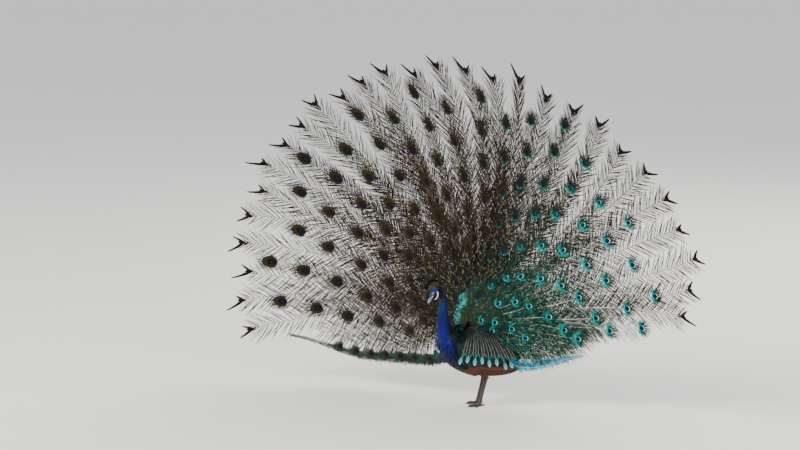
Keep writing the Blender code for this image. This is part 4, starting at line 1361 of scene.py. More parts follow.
    def _fringe(
        self, tufts: Tufts, plume: Plume, base: Array, side: int, length: Array, angle: Array,
        shade: Array, draw: Draw,
    ) -> None:
        """Adds barbs that leave a shaft at given radii, to one side, and curve towards its tip."""
        many = len(base)
        length, angle = length[:, None], angle[:, None]
        bend = 0.05 + draw.normal(0, 0.05, (many, 1))
        along = length * (np.cos(angle) * LOOSE + bend * LOOSE**2)
        out = length * (np.sin(angle) * LOOSE - bend * LOOSE**2)
        curl = draw.normal(0.02, 0.05, (many, 1)) * length * LOOSE**2
        level = self.bowl.tier(plume.tier) + curl - 0.0004
        path = plume.place(self.bowl, base[:, None], along, side * out, level)
        width = self.barb_half * np.array([0.75, 1.0, 0.85, 0.0]) * draw.uniform(0.8, 1.25, (many, 1))
        width = width * (1.35 if plume.kind is Kind.FORKED else 1.0)
        patch = self.patch(plume.turn_at(base) + side * 0.006, base)
        tufts.sweep(path, width, self.barb_thick, self.bowl.axes[2], patch, shade)

    def _halo(self, tufts: Tufts, plume: Plume, draw: Draw) -> None:
        """Adds the fringe that stands out round an eye."""
        many = self.halo_barbs
        phi = np.linspace(-2.6, 2.6, many) + draw.normal(0, 0.03, many)
        lean = phi * 0.80
        wide, long = plume.shape()
        half, tall = self.eye_half * plume.size * wide, self.eye_long * plume.size * long
        start_out, start_up = 0.72 * half * np.sin(phi), 0.72 * tall * np.cos(phi)
        length = (0.030 + 0.016 * np.cos(phi / 2)) * draw.uniform(0.8, 1.2, many) * (0.6 + 0.4 * plume.size)
        length = (length * (0.62 if plume.lift() > 0 else 1.0))[:, None]
        out = start_out[:, None] + length * np.sin(lean)[:, None] * (LOOSE - 0.15 * LOOSE**2)
        up = start_up[:, None] + length * (np.cos(lean)[:, None] * LOOSE + 0.18 * LOOSE**2)
        curl = draw.normal(0, 0.03, (many, 1)) * length * LOOSE**2
        level = self.bowl.tier(plume.tier) + plume.lift() + 0.0006 + curl
        path = plume.place(self.bowl, plume.end, up, out, level)
        width = self.barb_half * BARB_WIDTH
        patch = self.patch(plume.turn_at(plume.end), plume.end + start_up)
        shade = draw.random(many)
        shade = np.where((np.cos(phi) < 0.1) | (plume.turn < 0.1), HALO + 0.4 * shade, 0.45 + 0.3 * shade)
        tufts.sweep(path, width, self.barb_thick, self.bowl.axes[2], patch, shade)

    def _tassel(self, tufts: Tufts, plume: Plume, draw: Draw) -> None:
        """Adds the last short barbs below a fork."""
        for side in (-1, 1):
            base = plume.end - 0.012 * np.arange(1, 5)
            length = draw.uniform(0.030, 0.045, 4)
            self._fringe(tufts, plume, base, side, length, np.full(4, 0.55), draw.random(4), draw)

    def _web(self, tufts: Tufts, draw: Draw) -> None:
        """Fills the inner fan with short plumes that end before the first eyes."""
        for k, turn in enumerate(np.linspace(*self.web_spread, self.web_plumes)):
            if turn < -0.1 and k % 3 == 0:
                continue
            end = 0.15 + 0.30 * ((k * 0.618) % 1.0) ** 1.5
            plume = Plume(Kind.EYED, float(turn), end, -0.8 + 0.5 * (k % 3), 0.4)
            base = np.arange(0.06, end, 0.0110)
            for side in (-1, 1):
                length = (0.020 + 0.034 * draw.random(len(base))) * (0.7 + end)
                angle = np.full(len(base), 0.5)
                self._fringe(tufts, plume, base, side, length, angle, draw.random(len(base)), draw)

    def _eyes(self, plumes: list[Plume], draw: Draw) -> None:
        """Makes the eyed discs."""
        tufts = Tufts("train_eyes")
        disc = Disc()
        for plume in plumes:
            size = plume.size * draw.uniform(0.94, 1.06)
            rim = 1 + draw.normal(0, 0.025, disc.spokes)
            shade = draw.random()
            for rear in (False, True):
                x, y, z = disc.points(rim, rear)
                level = self.bowl.tier(plume.tier) + plume.lift() + 0.0016 + z
                broad, long = plume.shape()
                along, out = y * self.eye_long * size * long, x * self.eye_half * size * broad
                points = plume.place(self.bowl, plume.end, along, out, level)[None]
                patch = self.patch(plume.turn_at(plume.end) + 0.05 * rear, plume.end)
                wide = PATCH if rear else self.eye_patch
                tufts.add(points, disc.faces(rear), disc.vane(rear), patch, shade, patch_size=wide)
        tufts.build(EyespotFinish(self.bowl), Slot.TRAIN)

    def _forks(self, plumes: list[Plume], draw: Draw) -> None:
        """Makes the dark forked tips of the longest feathers."""
        tufts = Tufts("train_forks")
        run = np.linspace(0, 1, 9)
        front = self.bowl.axes[2]
        for plume in plumes:
            level = self.bowl.tier(plume.tier)
            patch = self.patch(plume.turn, plume.end)
            shade = draw.random()
            base = self.bowl.point(plume.end - 0.030 + 0.046 * run, plume.turn, level + 0.0008)
            width = 0.0102 * np.sin(math.pi * np.clip(run, 0.06, 0.97)) ** 0.8
            tufts.sweep(base, width, 0.0005, front, patch, shade, sides=6)
            outer = -1 if plume.turn < 0.45 else 1
            for side in (-1, 1):
                long = draw.uniform(0.080, 0.112) if side == outer else draw.uniform(0.038, 0.074)
                arm = ForkArm(side, long, math.radians(draw.uniform(22, 44)))
                path = plume.place(self.bowl, plume.end, arm.up(run), arm.out(run), level)
                width = 0.0030 + 0.0070 * (1 - run) ** 1.1
                width = width * (run < 1) * (0.6 + 0.4 * ease(run, 0.0, 0.20))
                tufts.sweep(path, width, 0.0005, front, patch, shade, sides=6)
                self._arm_barbs(tufts, plume, arm, draw)
        red, green, edge = rgb(16, 9, 6), rgb(10, 12, 10), rgb(28, 15, 9)
        finish = VaneFinish("train_forks", red, green, edge, 160.0, rough=0.6, gloss=0.12)
        tufts.build(finish, Slot.TRAIN)

    def _arm_barbs(self, tufts: Tufts, plume: Plume, arm: "ForkArm", draw: Draw) -> None:
        """Adds the short barbs that feather one arm of a fork."""
        part = np.tile(np.linspace(0.06, 0.88, 13), 2)
        edge = np.repeat([1, -1], 13)
        many = len(part)
        length = 0.015 * (1 - 0.6 * part) * draw.uniform(0.7, 1.2, many)
        up = arm.up(part)[:, None] + length[:, None] * 0.80 * BARB
        out = arm.out(part)[:, None] + arm.side * edge[:, None] * length[:, None] * 0.6 * BARB
        level = self.bowl.tier(plume.tier) + draw.normal(0, 0.0006, (many, 1))
        path = plume.place(self.bowl, plume.end, up, out, level)
        patch = self.patch(plume.turn, plume.end)
        width = 0.0010 * np.array([1.0, 1.0, 0.7, 0.0])
        tufts.sweep(path, width, 0.0003, self.bowl.axes[2], patch, draw.random(many))


@dataclass(frozen=True)
class ForkArm:
    """One arm of a forked tip: it leaves the shaft sideways and bends towards the tip."""

    side: int
    long: float
    angle: float
    start: float = -0.012

    def out(self, part: Array) -> Array:
        """Distance from the shaft's line."""
        return self.side * self.long * math.sin(self.angle) * part**0.85

    def up(self, part: Array) -> Array:
        """Distance beyond the shaft's end."""
        return self.start + self.long * math.cos(self.angle) * part**1.15


@dataclass(frozen=True)
class SwordFinish(Finish):
    """Dense herl along the lower hem: turquoise on the near side, dark green on the far side."""

    bowl: Bowl
    name: str = "train_swords"
    turquoise: Colour = rgb(14, 176, 186)
    blue: Colour = rgb(4, 118, 160)
    green: Colour = rgb(3, 42, 26)
    teal: Colour = rgb(4, 78, 66)
    dark: Colour = rgb(2, 10, 8)

    def lay(self, s: Sheet) -> None:
        """Mixes the colours."""
        _, turn = s.in_fan(self.bowl)
        cloud = s.noise(26.0)
        lit = s.mix(cloud.above(0.44, 0.60), self.turquoise, self.blue)
        dim = s.mix(cloud.above(0.48, 0.62), self.green, self.teal)
        colour = s.mix(turn.above(-20.0, 20.0), dim, lit)
        colour = s.mix(s.shade().above(0.45, 1.0) * 0.6, colour, self.dark)
        s.surface(colour, roughness=0.5, metallic=0.1, Specular_IOR_Level=0.35)


@dataclass(frozen=True)
class Disc:
    """An eye's disc: a thin lens with a soft uneven rim."""

    spokes: int = 28
    rings: tuple[float, ...] = (0.16, 0.32, 0.50, 0.68, 0.86, 1.0)
    bulge: float = 0.0012
    back: float = -0.0005

    def points(self, rim: Array, rear: bool) -> tuple[Array, Array, Array]:
        """Place across, along and before the feather, the first two in half sizes."""
        phi = 2 * math.pi * np.arange(self.spokes) / self.spokes
        x, y, z = [0.0], [0.0], [self.back if rear else self.bulge]
        for share in self._shares(rear):
            grow = share * (1 + (rim - 1) * share**3)
            taper = 1 - 0.10 * np.cos(phi) * share
            x += list(np.sin(phi) * grow * taper)
            y += list(np.cos(phi) * grow)
            z += [0.0 if rear else self.bulge * (1 - share**2)] * self.spokes
        return np.array(x), np.array(y), np.array(z)

    def _shares(self, rear: bool) -> tuple[float, ...]:
        """Rings of one side, the back having its rim alone."""
        return self.rings[-1:] if rear else self.rings

    def vane(self, rear: bool) -> Array:
        """Place on the disc of each point, with the back told apart by a high value."""
        phi = 2 * math.pi * np.arange(self.spokes) / self.spokes
        rows = [(0.5, 0.5)]
        for share in self._shares(rear):
            rows += list(zip(0.5 + 0.5 * np.sin(phi) * share, 0.5 + 0.5 * np.cos(phi) * share))
        return np.array(rows) + (REAR_STEP if rear else 0.0)

    def faces(self, rear: bool) -> Array:
        """Triangles of one side."""
        n = self.spokes
        made = [(0, 1 + (k + 1) % n, 1 + k) for k in range(n)]
        for row in range(len(self._shares(rear)) - 1):
            a, b = 1 + row * n, 1 + (row + 1) * n
            for k in range(n):
                m = (k + 1) % n
                made += [(a + k, a + m, b + m), (a + k, b + m, b + k)]
        faces = np.array(made)
        return faces[:, ::-1] if rear else faces


def rounded(
    name: str, middle: Array, axes: Array, radii: Sequence[float], segments: int, rings: int
) -> Thing:
    """Adds a sphere, draws it out along three axes and puts it in place.

    Args:
        name: its name.
        middle: its centre.
        axes: three directions as rows.
        radii: its half size along each.
        segments: how many sides it has round its last axis.
        rings: how many rings it has along it.

    Returns:
        The new object, with its place in its mesh.
    """
    bpy.ops.object.select_all(action="DESELECT")
    bpy.ops.mesh.primitive_uv_sphere_add(segments=segments, ring_count=rings, radius=1.0)
    made = bpy.context.active_object
    made.name = name
    shape = np.eye(4)
    shape[:3, :3] = np.array(axes).T * np.array(radii)
    shape[:3, 3] = middle
    made.data.transform(Matrix(shape.tolist()))
    if np.linalg.det(shape[:3, :3]) < 0:
        face_out()
    bpy.ops.object.shade_smooth()
    return made


@dataclass
class TrainPad:
    """The cushion that carries the quills, with its scale-like feathers in front and down behind."""

    bowl: Bowl
    wide: float = 0.107
    shift: float = 0.22
    high: float = 0.135
    front: float = 0.012
    rear: float = -0.048
    face: float = 0.017
    relief: float = 0.010
    open_turn: float = math.radians(134)
    scales: int = 1150
    down: int = 700
    bare_share: float = 0.80
    seed: int = 21

    def build(self) -> None:
        """Makes the cushion and its feathers."""
        axes = self.bowl.axes
        half = (self.front - self.rear) / 2
        middle = self.bowl.middle + axes[2] * (self.front + self.rear) / 2
        radii = (self.wide * self.bare_share, self.high * self.bare_share, half * self.bare_share)
        core = rounded("train_cushion", middle, axes, radii, 48, 32)
        points, _, _ = corner_normals(core.data)
        flat = (points - self.bowl.middle) @ axes[:2].T
        far = np.linalg.norm(flat, axis=1)
        side = flat[:, 0] * self.shift * flat[:, 0] / np.maximum(far, 1e-6)
        points = points + axes[2] * self.bowl.depth(far)[:, None] - axes[0] * side[:, None]
        move_points(core, points)
        finish = VaneFinish("train_cushion", rgb(5, 40, 34), rgb(8, 34, 24), rgb(4, 14, 10), 300.0, 0.6)
        dress(core, finish)
        self._scales()
        self._down()

    def _edge(self, turn: Array) -> Array:
        """Radius of the cushion's rim, wider on the far side."""
        wide = self.wide * (1 - self.shift * np.sin(turn))
        return 1 / np.hypot(np.sin(turn) / wide, np.cos(turn) / self.high)

    def _face(self, share: Array, turn: Array) -> Array:
        """Points of the front of the cushion, from its middle, 0, to its rim, 1."""
        level = self.face + self.relief * np.maximum(0.0, 1 - share**2) ** 0.7
        return self.bowl.point(share * self._edge(turn), turn, level)

    def _scales(self) -> None:
        """Lays overlapping scales from the middle outwards."""
        draw = np.random.default_rng(self.seed)
        order, share, turn = sunflower(self.scales)
        away = ease_turn(-turn, 10, 60)
        kept = (np.abs(turn) < self.open_turn) & ((away < 0.4) | (order % 3 > 0))
        share = share * (1 - 0.32 * away)
        share, turn = share[kept], turn[kept]
        many = len(share)
        root = self._face(share, turn)
        flow = unit(self._face(share + 0.012, turn) - root + 1e-9)
        side = self._face(share, turn + 0.01) - root
        normal = unit(np.cross(side, flow))
        normal *= np.sign((normal * self.bowl.axes[2]).sum(axis=1, keepdims=True) + 1e-9)
        blend = ease(share, 0.20, 0.85) * ease_turn(turn, -16, 14)
        length = (0.017 + 0.014 * share**2 + 0.085 * blend) * draw.uniform(0.7, 1.25, many)
        half = (0.0058 + 0.0016 * share - 0.0036 * blend) * draw.uniform(0.85, 1.15, many)
        rise = np.array([-0.0010, 0.0012, 0.0026, 0.0034, 0.0038])
        swing = draw.normal(0, 0.10, many)[:, None] * (length[:, None] * LEAF)
        reach = share[:, None] + length[:, None] * LEAF / self._edge(turn)[:, None]
        path = self._face(reach, turn[:, None] + swing / np.maximum(share, 0.15)[:, None])
        path = path + normal[:, None] * rise[:, None]
        width = half[:, None] * SCALE_WIDTH
        patch = disc_patch(share, turn)
        tufts = Tufts("train_scales")
        tufts.sweep(path, width, 0.0004, normal, patch, draw.random(many), sides=4, cup=0.20)
        tufts.build(ScaleFinish(self.bowl), Slot.TRAIN)

    def _down(self) -> None:
        """Lays brown downy feathers over the back of the cushion."""
        draw = np.random.default_rng(self.seed + 1)
        _, share, turn = sunflower(self.down)
        edge = self._edge(turn)
        level = self.rear + 0.006 + 0.030 * share**4
        root = self.bowl.point(0.96 * share * edge, turn, level)
        out = self.bowl.point(0.96 * share * edge + 0.01, turn, level)
        flow = unit(out - root + np.array([0.0, 0.006, 0.010]))
        normal = np.broadcast_to(-self.bowl.axes[2], root.shape)
        length = draw.uniform(0.022, 0.036, self.down)
        rise = np.array([-0.002, 0.0, 0.001, 0.001, 0.0])
        path = leaves(root, flow, length[:, None] * LEAF, normal, rise)
        width = draw.uniform(0.005, 0.007, (self.down, 1)) * SCALE_WIDTH
        patch = disc_patch(share, turn)
        tufts = Tufts("rump_down")
        tufts.sweep(path, width, 0.0004, normal, patch, draw.random(self.down), sides=4, cup=0.2)
        finish = VaneFinish("rump_down", rgb(44, 38, 30), rgb(72, 62, 46), rgb(30, 36, 26), 220.0, 0.8)
        tufts.build(finish, Slot.TRAIN)


@dataclass(frozen=True)
class ScaleFinish(Finish):
    """Scales at the train's root: turquoise with a dark rim, turning to deep green up the middle. Only the
    far side keeps the turquoise, and the near side's deep green is partly painted self-shadow.
    """

    bowl: Bowl
    name: str = "train_scales"
    turquoise: Colour = rgb(10, 122, 116)
    bright: Colour = rgb(70, 190, 180)
    deep: Colour = rgb(6, 44, 32)
    gold: Colour = rgb(54, 66, 26)
    grey: Colour = rgb(108, 112, 88)
    ink: Colour = rgb(3, 12, 10)

    def lay(self, s: Sheet) -> None:
        """Mixes the colours."""
        radius, turn = s.in_fan(self.bowl)
        across, along = s.vane()
        x = ((across - 0.5) * 2).size()
        cloud = s.noise(22.0)
        rim = radius + (cloud - 0.5) * 0.05
        # Painted shade: turquoise only on the far rim, with the near side left deep green as though in its
        # own shadow.
        far = turn.above(-4.0, -20.0) * (rim - turn.above(-60.0, -10.0) * 0.035).above(0.045, 0.070)
        colour = s.mix(far * s.shade().above(0.26, 0.46), self.deep, self.turquoise)
        colour = s.mix(far * s.shade().above(0.50, 0.85) * cloud.above(0.36, 0.56), colour, self.bright)
        colour = s.mix(rim.above(0.09, 0.02) * 0.5, colour, self.gold)
        fleck = s.noise(80.0, 2.0).above(0.50, 0.58) * s.shade().above(0.45, 0.75)
        colour = s.mix(fleck * (1 - far) * 0.6, colour, self.grey)
        edge = x.above(0.55, 0.95).most(along.above(0.86, 1.0))
        colour = s.mix(edge * 0.65, colour, self.ink)
        colour = s.mix((1 - along.above(0.0, 0.38)) * 0.8, colour, self.ink)
        lines = (along * 60.0 + x * 18.0).sine()
        s.surface(colour, roughness=0.45, metallic=0.15, bump=lines, depth=0.0003, Specular_IOR_Level=0.3)


@dataclass
class FlankPlumes:
    """Rows of short eyed plumes that hang from the cushion over each wing."""

    bowl: Bowl
    count: int = 9
    plain: int = 5
    eye_half: float = 0.0132
    eye_long: float = 0.0220
    seed: int = 31

    def _path(self, hand: int, part: float, steps: Array) -> Array:
        """The line of one plume, from the cushion to its tip."""
        lift, part = max(0.0, -part), max(0.0, part)
        ahead = 0.211 - 0.425 * part + 0.022 * math.sin(math.pi * part) + 0.02 * lift
        low = 0.279 - 0.101 * part + 0.015 * math.sin(math.pi * part) + 0.24 * lift
        out = 0.133 - 0.016 * (2 * part - 1) ** 2 - 0.08 * lift
        start = (0.070 + 0.05 * (0.5 - part), 0.052, 0.442)
        bend = (0.60 * ahead + 0.03, out + 0.016, 0.405)
        fore, aside, high = bent(steps, start, bend, (ahead, out, low - 0.028)).T
        return self.bowl.stance.at(fore, hand * aside, high)

    def build(self) -> None:
        """Makes both rows."""
        draw = np.random.default_rng(self.seed)
        shafts, barbs, eyes = Tufts("flank_shafts"), Tufts("flank_barbs"), Tufts("flank_eyes")
        disc = Disc(spokes=20)
        steps = np.linspace(0, 1, 13)
        for hand in SIDES:
            for k in range(-self.plain, self.count * 2 - 1):
                part = k / (self.count * 2 - 2) + draw.normal(0, 0.006)
                eyed = k % 2 == 0 and k >= 0
                reach = 0.88 + 0.035 * (k % 4 == 0) if eyed else 0.80
                path = self._path(hand, part, steps * reach)
                face = unit(self.bowl.stance.left * hand)
                patch = np.array([0.5 + hand * (0.1 + 0.35 * part), 0.5])
                width = 0.0015 * (1.2 - 0.6 * steps)
                shafts.sweep(path + face * 0.0022, width, width * 0.8, face, patch, 0.5, sides=5)
                self._barbs(barbs, path, face, 0.925 if k >= 0 else 1.0, patch, draw)
                if eyed:
                    self._eye(eyes, disc, path, face, patch, draw)
        green, white, edge = rgb(16, 36, 30), rgb(226, 190, 182), rgb(170, 140, 138)
        shafts.build(VaneFinish("flank_shafts", green, white, edge, 20.0, 0.36, 0.0, 0.3, 0.3), Slot.TRAIN)
        barbs.build(FlankFinish(), Slot.TRAIN)
        eyes.build(SmallEyeFinish(), Slot.TRAIN)

    def _barbs(self, barbs: Tufts, path: Array, face: Array, lit: float, patch: Array, draw: Draw) -> None:
        """Grows thin barbs down both sides of one plume, turquoise beyond a share of its length."""
        place = np.arange(0.06, 0.99, 0.017)
        at = place * (len(path) - 1)
        low = np.minimum(at.astype(int), len(path) - 2)
        root = path[low] + (path[low + 1] - path[low]) * (at - low)[:, None]
        down = unit(path[low + 1] - path[low])
        over = unit(np.cross(down, face))
        for side in (-1, 1):
            many = len(root)
            length = (0.018 + 0.012 * place) * draw.uniform(0.8, 1.2, many)
            out = side * length[:, None] * (0.62 * BARB - 0.12 * BARB**2)
            along = length[:, None] * (0.78 * BARB + 0.10 * BARB**2)
            lift = draw.normal(0, 0.0012, (many, 1)) * BARB
            spine = root[:, None] + down[:, None] * along[..., None]
            spine = spine + over[:, None] * out[..., None] + face * lift[..., None]
            width = 0.0010 * BARB_WIDTH
            patches = patch + np.stack([np.full(many, side * 0.003), 0.4 * (place - 0.5)], -1)
            shade = draw.random(many) + HALO * (place > lit)
            barbs.sweep(spine, width, 0.0003, face, patches, shade)

    def _eye(self, eyes: Tufts, disc: Disc, path: Array, face: Array, patch: Array, draw: Draw) -> None:
        """Adds the small eye at a plume's end."""
        down = unit(path[-1] - path[-2])
        over = unit(np.cross(face, down))
        front = np.cross(over, down)
        front = front * np.sign(front @ face)
        rim = 1 + draw.normal(0, 0.03, disc.spokes)
        for rear in (False, True):
            x, y, z = disc.points(rim, rear)
            points = path[-1] + front * (z[:, None] + 0.0016) + down * (y[:, None] * self.eye_long)
            points = points + np.cross(front, -down) * (x[:, None] * self.eye_half)
            wide = PATCH if rear else 0.03
            where = patch + (0.0, 0.25 + 0.05 * rear)
            eyes.add(points[None], disc.faces(rear), disc.vane(rear), where, draw.random(), wide)


@dataclass(frozen=True)
class FlankFinish(Finish):
    """Thin barbs of the flank plumes: teal above, turquoise round the eyes."""

    name: str = "flank_barbs"
    teal: Colour = rgb(5, 38, 30)
    turquoise: Colour = rgb(8, 84, 72)
    bright: Colour = rgb(16, 150, 138)
    dark: Colour = rgb(3, 12, 12)

    def lay(self, s: Sheet) -> None:
        """Mixes the colours."""
        _, along = s.vane()
        _, _, high = s.split(s.place())
        cloud = s.noise(60.0)
        colour = s.mix(cloud.above(0.46, 0.60), self.teal, self.turquoise)
        colour = s.mix(high.above(0.34, 0.40) * cloud.above(0.60, 0.48), colour, self.dark)
        colour = s.mix(s.shade().above(0.35, 1.0) * 0.8, colour, self.dark)
        colour = s.mix(along.above(0.6, 1.0) * 0.3, colour, self.turquoise)
        colour = s.mix(s.shade().above(HALO - 0.3, HALO - 0.1), colour, self.bright)
        s.surface(colour, roughness=0.40, metallic=0.3, Specular_IOR_Level=0.55)


@dataclass(frozen=True)
class SmallEyeFinish(Finish):
    """Small pale-centred eyes of the flank plumes."""

    name: str = "flank_eyes"
    pale: Colour = rgb(186, 226, 210)
    green: Colour = rgb(8, 78, 62)
    turquoise: Colour = rgb(14, 166, 162)
    dark: Colour = rgb(4, 60, 66)
    back: Colour = rgb(80, 78, 62)

    def lay(self, s: Sheet) -> None:
        """Mixes the colours."""
        across, along = s.vane()
        x = (across - 0.5) * 2
        y = (along - 0.5) * 2
        whole = (x * x + y * y) ** 0.5
        core = ((x * 1.5) ** 2 + (y - 0.12) ** 2) ** 0.5
        colour = s.mix(whole.above(0.70, 0.95), self.turquoise, self.dark)
        bowl = (core - 0.60).size().above(0.26, 0.16) * y.above(-0.25, 0.05)
        colour = s.mix(bowl, colour, self.pale)
        colour = s.mix(core.above(0.44, 0.34), colour, self.green)
        strokes = (along * 90.0 + x.size() * 30.0).sine()
        colour = s.mix(strokes.above(0.2, 0.9) * 0.2, colour, self.dark)
        colour = s.mix(along.above(1.4, 1.6), colour, self.back)
        s.surface(colour, roughness=0.36, metallic=0.3, bump=strokes, depth=0.0003)


@dataclass
class FoldedWing:
    """One folded wing: rows of coverts over the flank, and rufous primaries below them."""

    stance: Stance
    hand: int
    middle: Triple = (-0.010, 0.080, 0.285)
    radii: Triple = (0.185, 0.036, 0.088)
    bare_share: float = 0.95
    gap: float = 0.0105
    quills: int = 9
    seed: int = 41

    def build(self) -> None:
        """Makes the wing."""
        st = self.stance
        axes = np.array([st.heading, st.left * self.hand, (0.0, 0.0, 1.0)])
        middle = st.at(self.middle[0], self.hand * self.middle[1], self.middle[2])
        radii = np.array(self.radii) * self.bare_share - np.array([0.004, 0.002, 0.003])
        name = SIDES[self.hand]
        core = rounded(f"wing_core_{name}", middle, axes, radii, 64, 40)
        night, teal, edge = rgb(10, 20, 34), rgb(12, 26, 36), rgb(6, 10, 16)
        dark = VaneFinish(f"wing_core_{name}", night, teal, edge, 200.0, 0.7)
        dress(core, dark, [f"wing_{name}"])
        self._coverts(core, middle, axes)
        self._primaries()

    def _coverts(self, core: Thing, middle: Array, axes: Array) -> None:
        """Lays the coverts, longer towards the rear and the lower edge."""
        draw = np.random.default_rng(self.seed + self.hand)
        surface = corner_normals(core.data)

        def keep(points: Array) -> Array:
            """True on the outer side."""
            return (points - middle) @ axes[1] > -0.012

        def spacing(points: Array) -> Array:
            """Distance between roots."""
            return np.full(len(points), self.gap)

        roots, normals = spread_roots(surface, spacing, keep, self.seed + self.hand)
        many = len(roots)
        place = (roots - middle) @ axes.T / np.array(self.radii)
        flow = -axes[0] - axes[2] * (0.30 - 0.25 * place[:, 2:])
        flow = combed(flow, normals)
        rear = ease(-place[:, 0], -0.8, 0.7)
        low = ease(-place[:, 2], -0.5, 0.8)
        length = (0.026 + 0.026 * rear + 0.010 * low) * draw.uniform(0.9, 1.1, many)
        half = (0.0075 + 0.0030 * rear + 0.0015 * low) * draw.uniform(0.92, 1.08, many)
        part = np.array([0.0, 0.25, 0.5, 0.72, 0.9, 1.0])
        rise = np.array([-0.0010, 0.0016, 0.0030, 0.0034, 0.0030, 0.0022])
        reach = length[:, None] * part
        path = leaves(roots, flow, reach, normals, rise - 0.5 * reach**2 / 0.28)
        width = half[:, None] * np.array([0.45, 0.85, 1.0, 0.95, 0.62, 0.0])
        patch = np.stack([0.5 + 0.46 * place[:, 0], 0.5 + 0.46 * place[:, 2]], -1)
        tufts = Tufts(f"wing_coverts_{SIDES[self.hand]}")
        tufts.sweep(path, width, 0.0004, normals, patch, draw.random(many), sides=4, cup=0.20)
        tufts.build(CovertFinish(self.stance, tufts.name), Slot.WING)

    def _primaries(self) -> None:
        """Lays the long quills of the lower edge."""
        draw = np.random.default_rng(self.seed + 2 * self.hand)
        tufts = Tufts(f"wing_quills_{SIDES[self.hand]}")
        x = np.linspace(0, 1, 16)
        profile = np.array([0.1, 0.35, 0.62, 0.82, 0.94, 1, 1, 1, 1, 1, 0.98, 0.94, 0.86, 0.70, 0.45, 0.0])
        many = self.quills * 2 - 1
        for k in range(many):
            part = k / (many - 1)
            start = (0.158 - 0.055 * part - 0.060 * (self.hand < 0), 0.086, 0.210 + 0.024 * part)
            bend = (-0.050 - 0.020 * part, 0.112, 0.160 + 0.036 * part)
            end = (-0.215 - 0.020 * part, 0.088, 0.190 + 0.020 * part)
            fore, aside, high = bent(x, start, bend, end).T
            lift = 0.0014 * (self.quills - 1) * part
            path = self.stance.at(fore, self.hand * (aside + lift), high)
            face = unit(self.stance.left * self.hand + 0.12 * UP)
            patch = (0.5, 0.06 + 0.88 * part)
            shade = draw.random() * 0.6
            tufts.sweep(path, 0.0118 * profile, 0.0005, face, patch, shade, sides=6, cup=0.10)
            shaft = 0.0011 * (1.0 - 0.8 * x)
            tufts.sweep(path + face * 0.0007, shaft, shaft * 0.8, face, patch, 1.0, sides=5)
        finish = VaneFinish(tufts.name, rgb(108, 44, 9), rgb(84, 31, 7), rgb(38, 15, 6), 420.0, 0.6)
        tufts.build(finish, Slot.WING)


@dataclass(frozen=True)
class CovertFinish(Finish):
    """Coverts: blue-black above with a teal gloss, and rufous along the lower edge."""

    stance: Stance
    name: str
    night: Colour = rgb(8, 22, 44)
    teal: Colour = rgb(4, 74, 92)
    rufous: Colour = rgb(98, 41, 10)
    ink: Colour = rgb(4, 8, 14)

    def lay(self, s: Sheet) -> None:
        """Mixes the colours."""
        across, along = s.vane()
        x = ((across - 0.5) * 2).size()
        high = s.along_axis(UP, self.stance.feet)
        ahead = s.along_axis(self.stance.heading, self.stance.feet)
        cloud = s.noise(40.0)
        edge = high + (cloud - 0.5) * 0.012 + ahead * 0.06
        colour = s.mix(cloud.above(0.42, 0.62) * along.above(0.3, 0.8), self.night, self.teal)
        colour = s.mix(edge.above(0.208, 0.194), colour, self.rufous)
        colour = s.mix(x.above(0.6, 1.0) * 0.5, colour, self.ink)
        colour = s.mix((1 - along.above(0.0, 0.35)) * 0.6, colour, self.ink)
        colour = s.mix(s.shade() * 0.35, colour, self.ink)
        strokes = (along * 90.0 + x * 24.0).sine()
        s.surface(colour, roughness=0.42, metallic=0.2, bump=strokes, depth=0.0003)


